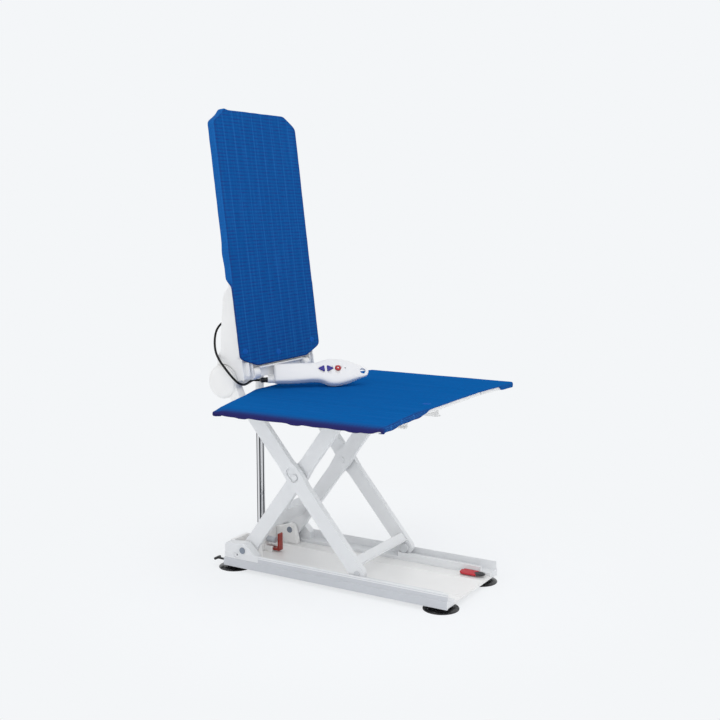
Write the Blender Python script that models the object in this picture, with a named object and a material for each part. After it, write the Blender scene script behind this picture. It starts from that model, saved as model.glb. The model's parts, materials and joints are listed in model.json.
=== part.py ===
"""Battery bath lift: base on suction feet, scissor lift, seat with side flaps, reclining backrest, handset.

Metres, +Z up. The sitter faces -Y and the sitter's left is +X. The origin lies on the floor, under the middle
of the lift's own box. The lift stands at the top of its travel with the backrest upright and the flaps level.
"""

import math

import bmesh
import bpy
from mathutils import Matrix, Vector

# Clearances
GAP = 0.0003
PIN_PLAY = 0.0003

# Scissor
PIVOT_Y = 0.306
PIVOT_Z = 0.0575
ROLLER_Z = 0.052
INNER_REST_DEG = 53.35
LIFT_RANGE_DEG = 49.0
INNER_LOWER = 0.263
OUTER_LOWER = 0.2835
OUTER_UPPER = 0.2175
ARM_WIDTH = 0.039
ARM_THICK = 0.0155
ARM_SPACING = 0.0045
ARM_BULGE = 0.004
ARM_WALL = 0.0035
INNER_ARM_X = 0.0965
PIN_R = 0.006
PIN_HEAD_R = 0.0085
PIN_HEAD = 0.0022
ROLLER_R = 0.012
ROLLER_WIDTH = 0.011
SLIDER_R = 0.011
RECESS_DEPTH = 0.0030
RECESS_R = 0.0125
RECESS_LENGTH = 0.016
MEMBER_START = 0.050
MEMBER_WIDTH = 0.065
MEMBER_LIP = 0.021
PLATE_START = 0.012
PLATE_WIDTH = 0.0255
PLATE_ACROSS = 0.014
PLATE_LIP = 0.0065
SHEET_THICK = 0.003
TRACK_RISE = 0.0016

# Base
BASE_FRONT_Y = -0.283
BASE_REAR_Y = 0.363
BASE_HALF = 0.1436
TRAY_UNDER = 0.014
TRAY_THICK = 0.006
TRAY_HALF = 0.104
RIB_HEIGHT = 0.0016
RIB_WIDTH = 0.008
RAIL_FLOOR = 0.0285
RAIL_TOP = 0.050
RAIL_WALL = 0.0035
FLANGE_WIDTH = 0.0046
FLANGE_UNDER = 0.012
FLANGE_TOP = 0.031
CHEEK_FRONT_Y = 0.264
CHEEK_TOP = 0.0205
CHEEK_GAP = 0.003
INNER_CHEEK = 0.016
INNER_CHEEK_TOP = 0.0165
INNER_CHEEK_FOOT = 0.024
REAR_WALL = 0.012
REAR_WALL_TOP = 0.0735
DRAIN_BEHIND = 0.0185
DRAIN_BELOW = 0.007
DRAIN_DISH_R = 0.0095
DRAIN_DISH = 0.002
DRAIN_R = 0.0032
DRAIN_DEPTH = 0.012
POCKET_Y = 0.050
POCKET_HALF = 0.018
POCKET_DROP = 0.008
POCKET_DEPTH = 0.0018
NOTCH_HALF = 0.034
NOTCH_FLOOR = 0.0195

# Suction feet and their releases
CUP_DIA = 0.087
CUP_X = 0.110
CUP_FRONT_Y = -0.251
CUP_REAR_Y = 0.350
RELEASE_X = 0.088
RELEASE_WIDTH = 0.014
RELEASE_LENGTH = 0.056
RELEASE_THICK = 0.003
RELEASE_HINGE_Y = -0.206
RELEASE_EYE_R = 0.0036
RELEASE_PIN_R = 0.0016
RELEASE_EAR = 0.003
PULL_X = 0.1285
PULL_Z = 0.0215
PULL_ROD_R = 0.0028
PULL_DEPTH = 0.020
PULL_REACH = 0.036
PULL_BAR = 0.024

# Lift tube and its foot
TUBE_Y = 0.345
TUBE_R = 0.011
TUBE_TOP = 0.520
FOOT_PIN_Z = 0.060
FOOT_PIN_R = 0.005
FOOT_EYE_R = 0.0125
FOOT_EYE_HALF = 0.0125
FOOT_WALL = 0.006
FOOT_TOP = 0.0135
FOOT_FRONT = 0.020
FOOT_REAR = 0.013
LATCH_FRONT_Y = 0.281
LATCH_SEAT_Y = 0.302
LATCH_HALF = 0.0085
LATCH_ARM = 0.0060
LATCH_FOOT = 0.0065
LATCH_TOP = 0.0715
LATCH_WALL = 0.0035
LATCH_LIP = 0.0030
LATCH_TRAVEL = 0.010
BOLT_R = 0.008
BOLT_LENGTH = 0.028
BOLT_Z = 0.0505

# Seat
SEAT_DROP = 0.026
BOARD_THICK = 0.010
COVER_THICK = 0.004
SEAT_FRONT_Y = -0.209
SEAT_REAR_Y = 0.289
SEAT_HINGE_X = 0.1885
SEAT_REAR_HALF = 0.090
FLAP_OUTER_X = 0.358
FLAP_FRONT_Y = -0.226
FLAP_REAR_Y = 0.207
FLAP_REAR_INNER_Y = 0.255
HINGE_ROD_R = 0.0025
COVER_SETBACK = 0.006
COVER_HEM = 0.0135
TRACK_WALL = 0.003
TRACK_PLAY = 0.0017
BRACKET_FRONT_Y = 0.215
BRACKET_BOSS = 0.015

# Backrest hinge
HUB_Y = 0.344
HUB_Z = 0.499
HUB_R = 0.043
HUB_PROUD = 0.005
HUB_CAP = 0.006
HINGE_PIN_R = 0.009
HINGE_PIN_INNER_X = 0.0535
HUB_PLAY = 0.0015

# Backrest
BACK_Y = 0.2675
BACK_Z = 0.540
BACK_LEAN_DEG = 7.2
BACK_HEIGHT = 0.636
BACK_HALF = 0.175
BACK_THICK = 0.012
TOP_CHAMFER = (0.052, 0.030)
LOW_CHAMFER = (0.070, 0.022)
SHELL_HALF = 0.155
SHELL_TOP = 0.205
SHELL_SKIRT = 0.031
LUG_R = 0.021
LUG_OUTER_X = 0.0975
CHANNEL_HALF = 0.057
CHANNEL_DEPTH = 0.030
DRIVE_HALF = 0.050
DRIVE_SLOT_PLAY = 0.0025
DRIVE_BACK = 0.098
DRIVE_TOP = 0.150
DRIVE_LOW = 0.020
GLAND_R = 0.0062
GLAND_INSET = 0.050
GLAND_V = 0.118
GLAND_LENGTH = 0.020

# Handset
HANDSET_TAIL = (-0.045, 0.266)
HANDSET_TIP = (0.115, 0.079)
HANDSET_TILT_DEG = 38.0
HANDSET_HALF = 0.027
HANDSET_BEHIND = 0.019
HANDSET_FACE = 0.014
HANDSET_EYE_R = 0.0068
BUTTON_RISE = 0.0022
BUTTON_R = 0.0075
BUTTON_UP = 0.006
STUB_R = 0.0065
STUB_LENGTH = 0.017
STUB_DOWN = 0.0115
CONNECTOR_R = 0.0055
CONNECTOR_LENGTH = 0.019
CORD_R = 0.0027

SIDES = {"left": 1, "right": -1}


# Places worked out from the driving sizes

class ArmLine:
    """The centre line of a scissor arm: its lower pin, its lean, and how far its other pins lie along it."""

    def __init__(self, start, angle, lean, lower, upper):
        self.start = start
        self.run = lean * math.cos(angle)
        self.rise = math.sin(angle)
        self.lean = lean
        self.lower = lower
        self.length = lower + upper

    def at(self, along, across=0.0):
        """A point (y, z) along the arm from its lower pin, and across it towards its upper side."""
        y = self.start[0] + along * self.run - across * self.lean * self.rise
        z = self.start[1] + along * self.rise + across * self.lean * self.run
        return (y, z)


INNER_REST = math.radians(INNER_REST_DEG)
INNER_LOW = math.radians(INNER_REST_DEG - LIFT_RANGE_DEG)
OUTER_REST = math.asin((PIVOT_Z - ROLLER_Z + INNER_LOWER * math.sin(INNER_REST)) / OUTER_LOWER)
OUTER_LOW = math.asin((PIVOT_Z - ROLLER_Z + INNER_LOWER * math.sin(INNER_LOW)) / OUTER_LOWER)
FOLLOW = (OUTER_REST - OUTER_LOW) / (INNER_REST - INNER_LOW)
INNER_UPPER = OUTER_UPPER * INNER_LOWER / OUTER_LOWER
BASE_PIVOT = (PIVOT_Y, PIVOT_Z)
BASE_ROLLER = (PIVOT_Y - INNER_LOWER * math.cos(INNER_REST) - OUTER_LOWER * math.cos(OUTER_REST), ROLLER_Z)
INNER = ArmLine(BASE_PIVOT, INNER_REST, -1, INNER_LOWER, INNER_UPPER)
OUTER = ArmLine(BASE_ROLLER, OUTER_REST, 1, OUTER_LOWER, OUTER_UPPER)
CROSSING = INNER.at(INNER_LOWER)
SEAT_PIVOT = OUTER.at(OUTER.length)
SEAT_SLIDER = INNER.at(INNER.length)
ROLLER_LOW_Y = PIVOT_Y - INNER_LOWER * math.cos(INNER_LOW) - OUTER_LOWER * math.cos(OUTER_LOW)
SLIDER_LOW_Y = SEAT_PIVOT[0] - INNER_UPPER * math.cos(INNER_LOW) - OUTER_UPPER * math.cos(OUTER_LOW)

INNER_ARM_OUT = INNER_ARM_X + ARM_THICK
OUTER_ARM_X = INNER_ARM_OUT + ARM_SPACING
OUTER_ARM_OUT = OUTER_ARM_X + ARM_THICK
RAIL_OUT = BASE_HALF - FLANGE_WIDTH
RAIL_IN = RAIL_OUT - RAIL_WALL
CHEEK_IN = INNER_ARM_OUT + CHEEK_GAP
INNER_CHEEK_OUT = INNER_ARM_X - CHEEK_GAP
INNER_CHEEK_IN = INNER_CHEEK_OUT - INNER_CHEEK
TRACK_WEB_X = INNER_ARM_X - GAP - ROLLER_WIDTH - TRACK_PLAY - TRACK_WALL
DRIVE_SLOT = TUBE_R + DRIVE_SLOT_PLAY
GLAND_X = SHELL_HALF - GLAND_INSET
HUB_OUTER_X = SHELL_HALF + HUB_PROUD
TRAY_TOP = TRAY_UNDER + TRAY_THICK
REAR_WALL_Y = BASE_REAR_Y - REAR_WALL
SEAT_UNDER = SEAT_PIVOT[1] + SEAT_DROP
BOARD_TOP = SEAT_UNDER + BOARD_THICK
SEAT_TOP = BOARD_TOP + GAP + COVER_THICK
BRACKET_X = OUTER_ARM_OUT + 0.0012
FLOOR_SEAT = TRAY_TOP + GAP
ORIGIN_Y = (CUP_FRONT_Y - CUP_DIA / 2 + BASE_REAR_Y + PULL_REACH) / 2

LEAN = math.radians(BACK_LEAN_DEG)
PANEL_FRAME = Matrix(((1, 0, 0, 0),
                      (0, math.cos(LEAN), math.sin(LEAN), BACK_Y),
                      (0, -math.sin(LEAN), math.cos(LEAN), BACK_Z),
                      (0, 0, 0, 1)))
PANEL_BACK = GAP + COVER_THICK + BACK_THICK
SHELL_FRONT = PANEL_BACK + GAP
HUB_ON_PANEL = PANEL_FRAME.inverted() @ Vector((0, HUB_Y, HUB_Z))


# Outlines

def arc(centre, radius, start_deg, end_deg, steps):
    """Points along an arc, both ends included."""
    turn = [math.radians(start_deg + (end_deg - start_deg) * i / steps) for i in range(steps + 1)]
    return [(centre[0] + radius * math.cos(a), centre[1] + radius * math.sin(a)) for a in turn]


def circle(centre, radius, steps=16):
    """Points round a whole circle."""
    return arc(centre, radius, 0, 360, steps)[:-1]


def rounded(corners, steps=3):
    """An outline from (u, v, radius) corners, each turned into an arc."""
    points = []
    count = len(corners)
    for i, (u, v, radius) in enumerate(corners):
        here = Vector((u, v))
        if radius == 0:
            points.append((u, v))
            continue
        before = (Vector(corners[i - 1][:2]) - here).normalized()
        after = (Vector(corners[(i + 1) % count][:2]) - here).normalized()
        half = before.angle(after) / 2
        reach = radius / math.tan(half)
        centre = here + (before + after).normalized() * (radius / math.sin(half))
        start = here + before * reach - centre
        end = here + after * reach - centre
        sweep = start.angle_signed(end)
        for k in range(steps + 1):
            turned_by = Matrix.Rotation(-sweep * k / steps, 2) @ start
            points.append(tuple(centre + turned_by))
    return points


def grown(outline, amount):
    """The outline moved outwards by an amount, with its corners kept."""
    area = sum(a[0] * b[1] - b[0] * a[1] for a, b in zip(outline, outline[1:] + outline[:1]))
    turn = 1 if area > 0 else -1
    points = []
    for i, here in enumerate(outline):
        before = Vector(here) - Vector(outline[i - 1])
        after = Vector(outline[(i + 1) % len(outline)]) - Vector(here)
        n1 = Vector((before.y, -before.x)).normalized() * turn
        n2 = Vector((after.y, -after.x)).normalized() * turn
        middle = (n1 + n2).normalized()
        points.append(tuple(Vector(here) + middle * (amount / max(middle.dot(n1), 0.3))))
    return points


def mirrored(outline, side):
    """The outline on the left (+1) or the right (-1) of the middle."""
    return [(u * side, v) for u, v in outline]


# Solids

def on_plane(axis, value, point):
    """A 2-D point set on the plane square to an axis."""
    u, v = point
    return {"x": (value, u, v), "y": (u, value, v), "z": (u, v, value)}[axis]


def prism(outline, axis, low, high, holes=()):
    """A flat outline, with holes in it, drawn out along an axis."""
    bm = bmesh.new()
    edges = []
    for loop in [outline, *holes]:
        verts = [bm.verts.new(on_plane(axis, low, p)) for p in loop]
        edges += [bm.edges.new(pair) for pair in zip(verts, verts[1:] + verts[:1])]
    bmesh.ops.triangle_fill(bm, edges=edges, use_beauty=True)
    drawn = bmesh.ops.extrude_face_region(bm, geom=bm.faces[:])
    moved = [item for item in drawn["geom"] if isinstance(item, bmesh.types.BMVert)]
    bmesh.ops.translate(bm, verts=moved, vec=on_plane(axis, high - low, (0, 0)))
    bmesh.ops.recalc_face_normals(bm, faces=bm.faces[:])
    return bm


def turned(profile, axis, centre, steps=16):
    """A profile of (radius, height) points turned about an axis through a centre."""
    bm = bmesh.new()
    verts = [bm.verts.new((radius, 0, height)) for radius, height in profile]
    closed = profile[0][0] > 0 or profile[-1][0] > 0
    ends = verts[1:] + verts[:1] if closed else verts[1:]
    edges = [bm.edges.new(pair) for pair in zip(verts, ends)]
    bmesh.ops.spin(bm, geom=verts + edges, cent=(0, 0, 0), axis=(0, 0, 1), angle=math.tau, steps=steps,
                   use_merge=True)
    bmesh.ops.remove_doubles(bm, verts=bm.verts[:], dist=1e-6)
    bmesh.ops.recalc_face_normals(bm, faces=bm.faces[:])
    turn = Vector((0, 0, 1)).rotation_difference(Vector(axis)).to_matrix().to_4x4()
    bm.transform(Matrix.Translation(centre) @ turn)
    return bm


def block(low, high):
    """A plain box between two corners."""
    bm = bmesh.new()
    bmesh.ops.create_cube(bm, size=1)
    middle = (Vector(low) + Vector(high)) / 2
    size = Vector(high) - Vector(low)
    bm.transform(Matrix.Translation(middle) @ Matrix.Diagonal((*size, 1)))
    return bm


def lofted(rings):
    """A closed skin through rings of points, with flat ends."""
    bm = bmesh.new()
    rows = [[bm.verts.new(p) for p in ring] for ring in rings]
    for low, high in zip(rows, rows[1:]):
        for i in range(len(low)):
            bm.faces.new((low[i - 1], low[i], high[i], high[i - 1]))
    bm.faces.new(rows[0])
    bm.faces.new(rows[-1])
    bmesh.ops.recalc_face_normals(bm, faces=bm.faces[:])
    return bm


def soften_rim(bm, axis, value, width, segments=2):
    """Rounds the edges where a flat face at one height meets the sides."""
    index = "xyz".index(axis)
    rim = []
    for edge in bm.edges:
        level = all(abs(v.co[index] - value) < 1e-6 for v in edge.verts)
        if level and edge.calc_face_angle(0) > 0.5:
            rim.append(edge)
    bmesh.ops.bevel(bm, geom=rim, offset=width, segments=segments, profile=0.5, affect="EDGES", material=-1)
    return bm


def side_span(side, inner, outer):
    """Low and high x of a piece that lies between two distances from the middle."""
    return (inner, outer) if side > 0 else (-outer, -inner)


# Objects and bodies

def finish(name, colour, roughness, metallic=0.0):
    """A surface: colour as linear red, green and blue."""
    material = bpy.data.materials.new(name)
    material.use_nodes = True
    shader = material.node_tree.nodes["Principled BSDF"]
    shader.inputs["Base Color"].default_value = (*colour, 1.0)
    shader.inputs["Roughness"].default_value = roughness
    shader.inputs["Metallic"].default_value = metallic
    material.diffuse_color = (*colour, 1.0)
    return material


class Body:
    """A group of pieces that move as one, about an empty on their joint's axis."""

    def __init__(self, name, place, carrier=None):
        self.place = Vector(place)
        self.empty = bpy.data.objects.new(f"{name}_joint", None)
        bpy.context.scene.collection.objects.link(self.empty)
        if carrier is None:
            self.empty.location = self.place - Vector((0, ORIGIN_Y, 0))
        else:
            self.empty.parent = carrier.empty
            self.empty.location = self.place - carrier.place

    def add(self, name, bm, surface):
        """Makes a named piece of this body from a solid in assembly coordinates."""
        bm.transform(Matrix.Translation(-self.place))
        mesh = bpy.data.meshes.new(name)
        bm.to_mesh(mesh)
        bm.free()
        mesh.shade_smooth()
        mesh.set_sharp_from_angle(angle=math.radians(35))
        piece = bpy.data.objects.new(name, mesh)
        bpy.context.scene.collection.objects.link(piece)
        piece.parent = self.empty
        if surface is not None:
            mesh.materials.append(surface)
        return piece

    def work(self, piece, bm, operation="DIFFERENCE"):
        """Cuts a solid from a piece, or joins it to the piece."""
        count = len(piece.modifiers)
        tool = self.add(f"{piece.name}_tool_{count}", bm, None)
        tool.hide_render = True
        tool.display_type = "WIRE"
        step = piece.modifiers.new(f"{operation.lower()}_{count}", "BOOLEAN")
        step.operation = operation
        step.solver = "EXACT"
        step.object = tool


def pin(span, place, radius):
    """A headed pin along X between two x values, through a (y, z) place."""
    low, high = span
    edge = 0.001
    bottom = low - PIN_HEAD
    top = high + PIN_HEAD
    profile = [(0, bottom), (PIN_HEAD_R - edge, bottom), (PIN_HEAD_R, bottom + edge), (PIN_HEAD_R, low)]
    profile += [(radius, low), (radius, high)]
    profile += [(PIN_HEAD_R, high), (PIN_HEAD_R, top - edge), (PIN_HEAD_R - edge, top), (0, top)]
    return turned(profile, (1, 0, 0), (0, *place))


def roller(side, arm_x, radius, place):
    """A roller on the inside of an arm, with its pin through the arm to a head outside."""
    inside = arm_x - GAP - ROLLER_WIDTH
    outside = arm_x + ARM_THICK + GAP
    edge = 0.001
    profile = [(0, inside), (radius - edge, inside), (radius, inside + edge), (radius, arm_x - GAP - edge),
               (radius - edge, arm_x - GAP), (PIN_R, arm_x - GAP), (PIN_R, outside), (PIN_HEAD_R, outside),
               (PIN_HEAD_R, outside + PIN_HEAD - edge), (PIN_HEAD_R - edge, outside + PIN_HEAD),
               (0, outside + PIN_HEAD)]
    return turned(profile, (side, 0, 0), (0, *place))


def bore(place, radius, span):
    """A round cutter along X through a (y, z) place."""
    return prism(circle(place, radius), "x", *span)


# Base

def build_base(base, white, rubber, steel):
    """Tray, rails, rear wall, pivot cheeks, suction feet and the tube's foot."""
    half = TRAY_HALF - GAP
    ribs = []
    for middle in (-0.060, 0.060):
        ribs += [(middle - RIB_WIDTH / 2, TRAY_TOP), (middle - RIB_WIDTH / 4, TRAY_TOP + RIB_HEIGHT),
                 (middle + RIB_WIDTH / 4, TRAY_TOP + RIB_HEIGHT), (middle + RIB_WIDTH / 2, TRAY_TOP)]
    section = [(-half, TRAY_UNDER), (-half, TRAY_TOP), *ribs, (half, TRAY_TOP), (half, TRAY_UNDER)]
    tray = base.add("base_tray", prism(section, "y", BASE_FRONT_Y, REAR_WALL_Y - GAP), white)
    hinge = (RELEASE_HINGE_Y, FLOOR_SEAT + RELEASE_EYE_R)
    ear = [(hinge[0] - 0.006, TRAY_TOP - 0.001), *arc(hinge, 0.0042, 170, 10, 6),
           (hinge[0] + 0.006, TRAY_TOP - 0.001)]
    for edge in (-1, 1):
        inner = RELEASE_X + edge * (RELEASE_WIDTH / 2 + GAP)
        span = sorted((inner, inner + edge * RELEASE_EAR))
        eye = circle(hinge, RELEASE_PIN_R + PIN_PLAY, 10)
        base.work(tray, prism(ear, "x", *span, holes=[eye]), "UNION")

    step = CHEEK_IN - GAP
    right = [(half, TRAY_UNDER, 0), (half, RAIL_FLOOR + GAP, 0), (step, RAIL_FLOOR + GAP, 0),
             (step, REAR_WALL_TOP, 0), (NOTCH_HALF + 0.008, REAR_WALL_TOP, 0.008),
             (NOTCH_HALF, NOTCH_FLOOR, 0.004)]
    left = [(-u, v, r) for u, v, r in reversed(right)]
    base.add("rear_wall", prism(rounded(right + left), "y", REAR_WALL_Y, BASE_REAR_Y), white)

    for name, side in SIDES.items():
        build_rail(base, name, side, white)
        span = side_span(side, INNER_CHEEK_IN, INNER_CHEEK_OUT)
        foot = FLOOR_SEAT
        lobe = arc(BASE_PIVOT, INNER_CHEEK_TOP, 170, 50, 8)
        outline = [(PIVOT_Y - INNER_CHEEK_FOOT, foot), *lobe, (REAR_WALL_Y - 0.012, PIVOT_Z + 0.006),
                   (REAR_WALL_Y - GAP, PIVOT_Z + 0.004), (REAR_WALL_Y - GAP, foot)]
        hole = circle(BASE_PIVOT, PIN_R + PIN_PLAY)
        base.add(f"pivot_cheek_{name}", prism(outline, "x", *span, holes=[hole]), white)
        reach = side_span(side, INNER_CHEEK_IN - GAP, RAIL_OUT + GAP)
        base.add(f"base_pivot_pin_{name}", pin(reach, BASE_PIVOT, PIN_R), steel)
        for end, y in (("front", CUP_FRONT_Y), ("rear", CUP_REAR_Y)):
            base.add(f"suction_cup_{end}_{name}", suction_cup(side * CUP_X, y), rubber)
    build_foot(base, white, steel)


def build_rail(base, name, side, white):
    """Side rail: flanged wall, roller track in front, pivot cheek and pull socket behind."""
    section = [(TRAY_HALF, TRAY_UNDER), (RAIL_OUT, TRAY_UNDER),
               (RAIL_OUT, FLANGE_UNDER), (BASE_HALF, FLANGE_UNDER),
               (BASE_HALF, FLANGE_TOP), (RAIL_OUT, FLANGE_TOP + 0.002), (RAIL_OUT, RAIL_TOP - 0.001),
               (RAIL_OUT - 0.001, RAIL_TOP), (RAIL_IN, RAIL_TOP), (RAIL_IN, RAIL_FLOOR),
               (TRAY_HALF, RAIL_FLOOR)]
    rail = base.add(f"rail_{name}", prism(mirrored(section, side), "y", BASE_FRONT_Y, BASE_REAR_Y), white)
    overlap = 0.0005
    track = side_span(side, TRAY_HALF + overlap, OUTER_ARM_X - 0.001)
    track_front = ROLLER_LOW_Y - ROLLER_R - 0.004
    track_rear = BASE_ROLLER[0] + ROLLER_R + 0.004
    track_top = ROLLER_Z - ROLLER_R - GAP
    base.work(rail, block((track[0], track_front, TRAY_TOP), (track[1], track_rear, track_top)), "UNION")
    lobe = arc(BASE_PIVOT, CHEEK_TOP, 140, 60, 6)
    cheek = [(CHEEK_FRONT_Y, TRAY_TOP), (CHEEK_FRONT_Y, RAIL_TOP - 0.004), *lobe,
             (BASE_REAR_Y - 0.020, REAR_WALL_TOP),
             *arc((BASE_REAR_Y - 0.010, REAR_WALL_TOP - 0.0095), 0.0095, 90, 0, 3),
             (BASE_REAR_Y - overlap, TRAY_TOP)]
    cheek_span = side_span(side, CHEEK_IN, RAIL_OUT - overlap)
    base.work(rail, prism(cheek, "x", *cheek_span), "UNION")
    base.work(rail, bore(BASE_PIVOT, PIN_R + PIN_PLAY, side_span(side, TRAY_HALF, BASE_HALF + 0.01)))
    drain = (PIVOT_Y + DRAIN_BEHIND, RAIL_TOP - DRAIN_BELOW)
    base.work(rail, bore(drain, DRAIN_DISH_R, side_span(side, RAIL_OUT - DRAIN_DISH, BASE_HALF + 0.01)))
    base.work(rail, bore(drain, DRAIN_R, side_span(side, RAIL_OUT - DRAIN_DEPTH, BASE_HALF + 0.01)))
    front = POCKET_Y - POCKET_HALF
    rear = POCKET_Y + POCKET_HALF
    floor = RAIL_TOP - POCKET_DROP
    top = RAIL_TOP + 0.001
    pocket = [(front, top), (front + 0.004, floor), (rear - 0.004, floor), (rear, top)]
    base.work(rail, prism(pocket, "x", *side_span(side, RAIL_IN - 0.001, RAIL_IN + POCKET_DEPTH)))
    socket = turned([(0, 0), (PULL_ROD_R + PIN_PLAY, 0), (PULL_ROD_R + PIN_PLAY, 0.05), (0, 0.05)], (0, 1, 0),
                    (side * PULL_X, BASE_REAR_Y - PULL_DEPTH - GAP, PULL_Z), 12)
    base.work(rail, socket)


def suction_cup(x, y):
    """Rubber foot: a flat rim, hollow under the middle, and a neck under the tray."""
    rim = CUP_DIA / 2
    neck = TRAY_UNDER - GAP
    profile = [(0, 0.006), (rim * 0.45, 0.005), (rim * 0.80, 0.0), (rim, 0.0), (rim, 0.0022),
               (rim * 0.88, 0.0042), (rim * 0.50, 0.0085), (rim * 0.34, 0.0105), (rim * 0.32, neck), (0, neck)]
    return turned(profile, (0, 0, 1), (x, y, 0), 24)


def build_foot(base, white, steel):
    """Clevis for the tube's foot, its pin, the lock bolt and the latch's seat."""
    outer = FOOT_EYE_HALF + GAP + FOOT_WALL
    inner = FOOT_EYE_HALF + GAP
    front = TUBE_Y - FOOT_FRONT
    rear = TUBE_Y + FOOT_REAR
    plan = [(-outer, front), (outer, front), (outer, rear), (inner, rear), (inner, front + 0.005),
            (-inner, front + 0.005), (-inner, rear), (-outer, rear)]
    clevis = base.add("foot_clevis", prism(plan, "z", FLOOR_SEAT, FOOT_PIN_Z + FOOT_TOP), white)
    place = (TUBE_Y, FOOT_PIN_Z)
    base.work(clevis, bore(place, FOOT_PIN_R + PIN_PLAY, (-0.03, 0.03)))
    bolt = [(0, GAP), (BOLT_R, GAP), (BOLT_R, BOLT_LENGTH - 0.001), (BOLT_R - 0.001, BOLT_LENGTH),
            (0, BOLT_LENGTH)]
    base.add("lock_bolt", turned(bolt, (0, -1, 0), (0, front, BOLT_Z)), steel)
    wall = LATCH_HALF + GAP
    ear = wall + LATCH_WALL
    floor = FLOOR_SEAT + LATCH_WALL
    ceiling = floor + LATCH_FOOT + 2 * GAP
    top = ceiling + LATCH_WALL
    mouth = wall - LATCH_LIP
    section = [(-ear, FLOOR_SEAT), (ear, FLOOR_SEAT), (ear, top), (mouth, top), (mouth, ceiling),
               (wall, ceiling), (wall, floor), (-wall, floor), (-wall, ceiling), (-mouth, ceiling),
               (-mouth, top), (-ear, top)]
    base.work(clevis, prism(section, "y", LATCH_SEAT_Y, front + 0.001), "UNION")


def build_latch(latch, dark_red):
    """Dark red pull latch: a foot that slides in the clevis's channel, and an upright finger plate."""
    low = FLOOR_SEAT + LATCH_WALL + GAP
    high = low + LATCH_FOOT
    front = LATCH_FRONT_Y
    rear = TUBE_Y - FOOT_FRONT - GAP
    arm = front + LATCH_ARM
    corners = [(front, low, 0.002), (rear, low, 0), (rear, high, 0), (arm, high, 0.004),
               (arm, LATCH_TOP, 0.0025), (front, LATCH_TOP, 0.0025)]
    latch.add("foot_latch", prism(rounded(corners), "x", -LATCH_HALF, LATCH_HALF), dark_red)


def build_front_release(body, red):
    """Red release strip of the front suction feet, with a thumb pad at its end."""
    x = RELEASE_X
    half = RELEASE_WIDTH / 2
    low = FLOOR_SEAT
    high = low + RELEASE_THICK
    hinge = (RELEASE_HINGE_Y, low + RELEASE_EYE_R)
    front = RELEASE_HINGE_Y - RELEASE_LENGTH
    outline = [(front, low), (hinge[0], low), *arc(hinge, RELEASE_EYE_R, -60, 150, 8), (front, high)]
    strip = body.add("front_release", prism(outline, "x", x - half, x + half), red)
    reach = half + GAP + RELEASE_EAR
    shaft = [(0, -reach), (RELEASE_PIN_R, -reach), (RELEASE_PIN_R, reach), (0, reach)]
    body.work(strip, turned(shaft, (1, 0, 0), (x, *hinge), 10), "UNION")
    pad = [(x + half * 1.25 * math.cos(a), front + 0.002 + 0.0115 * math.sin(a))
           for a in (math.tau * i / 20 for i in range(20))]
    solid = prism(pad, "z", low, high + 0.0025)
    body.work(strip, soften_rim(solid, "z", high + 0.0025, 0.0012), "UNION")


def build_rear_pull(body, name, side, black):
    """Rod with a cross bar that pulls a rear suction foot loose."""
    start = BASE_REAR_Y - PULL_DEPTH
    end = BASE_REAR_Y + PULL_REACH
    bar_y = end - 0.0035
    rod = [(0, start), (PULL_ROD_R, start), (PULL_ROD_R, bar_y), (0, bar_y)]
    pull = body.add(f"rear_pull_{name}", turned(rod, (0, 1, 0), (side * PULL_X, 0, PULL_Z), 12), black)
    half = PULL_BAR / 2
    bar = [(0, -half), (0.0026, -half), (0.0035, 0.001 - half), (0.0035, half - 0.001), (0.0026, half),
           (0, half)]
    body.work(pull, turned(bar, (1, 0, 0), (side * PULL_X, bar_y, PULL_Z), 12), "UNION")


# Lift tube

def build_tube(tube, chrome, steel):
    """Upright tube that the drive climbs, on a pinned foot."""
    top = FOOT_PIN_Z + 0.020
    centre = (TUBE_Y, FOOT_PIN_Z)
    half = TUBE_R + 0.0015
    shoulder = FOOT_PIN_Z + 0.008
    outline = [*arc(centre, FOOT_EYE_R, 180, 360, 10), (TUBE_Y + half, shoulder), (TUBE_Y + half, top),
               (TUBE_Y - half, top), (TUBE_Y - half, shoulder)]
    foot = tube.add("tube_foot", prism(outline, "x", -FOOT_EYE_HALF, FOOT_EYE_HALF), steel)
    reach = FOOT_EYE_HALF + FOOT_WALL + 2 * GAP
    tube.work(foot, pin((-reach, reach), centre, FOOT_PIN_R), "UNION")
    profile = [(0, top + GAP), (TUBE_R, top + GAP), (TUBE_R, TUBE_TOP - 0.0015), (TUBE_R - 0.0015, TUBE_TOP),
               (0, TUBE_TOP)]
    tube.add("lift_tube", turned(profile, (0, 0, 1), (0, TUBE_Y, 0), 24), chrome)


# Scissor arms

def arm_outline(line):
    """A flat arm with round ends that swells at the crossing."""
    half = ARM_WIDTH / 2
    ends = 8
    swell = [(-0.040, 0.0), (-0.020, 0.6), (0.0, 1.0), (0.020, 0.6), (0.040, 0.0)]
    points = []
    for i in range(ends + 1):
        turn = math.pi / 2 + math.pi * i / ends
        points.append((half * math.cos(turn), half * math.sin(turn)))
    points += [(line.lower + shift, -half - ARM_BULGE * share) for shift, share in swell]
    for i in range(ends + 1):
        turn = -math.pi / 2 + math.pi * i / ends
        points.append((line.length + half * math.cos(turn), half * math.sin(turn)))
    points += [(line.lower - shift, half + ARM_BULGE * share) for shift, share in swell]
    return [line.at(along, across) for along, across in points]


def arm_pocket(line, low, high):
    """The hollow inside an arm between two distances along it."""
    half = ARM_WIDTH / 2 - ARM_WALL
    corners = [(low, -half, 0.006), (high, -half, 0.006), (high, half, 0.006), (low, half, 0.006)]
    return [line.at(along, across) for along, across in rounded(corners, 2)]


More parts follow.
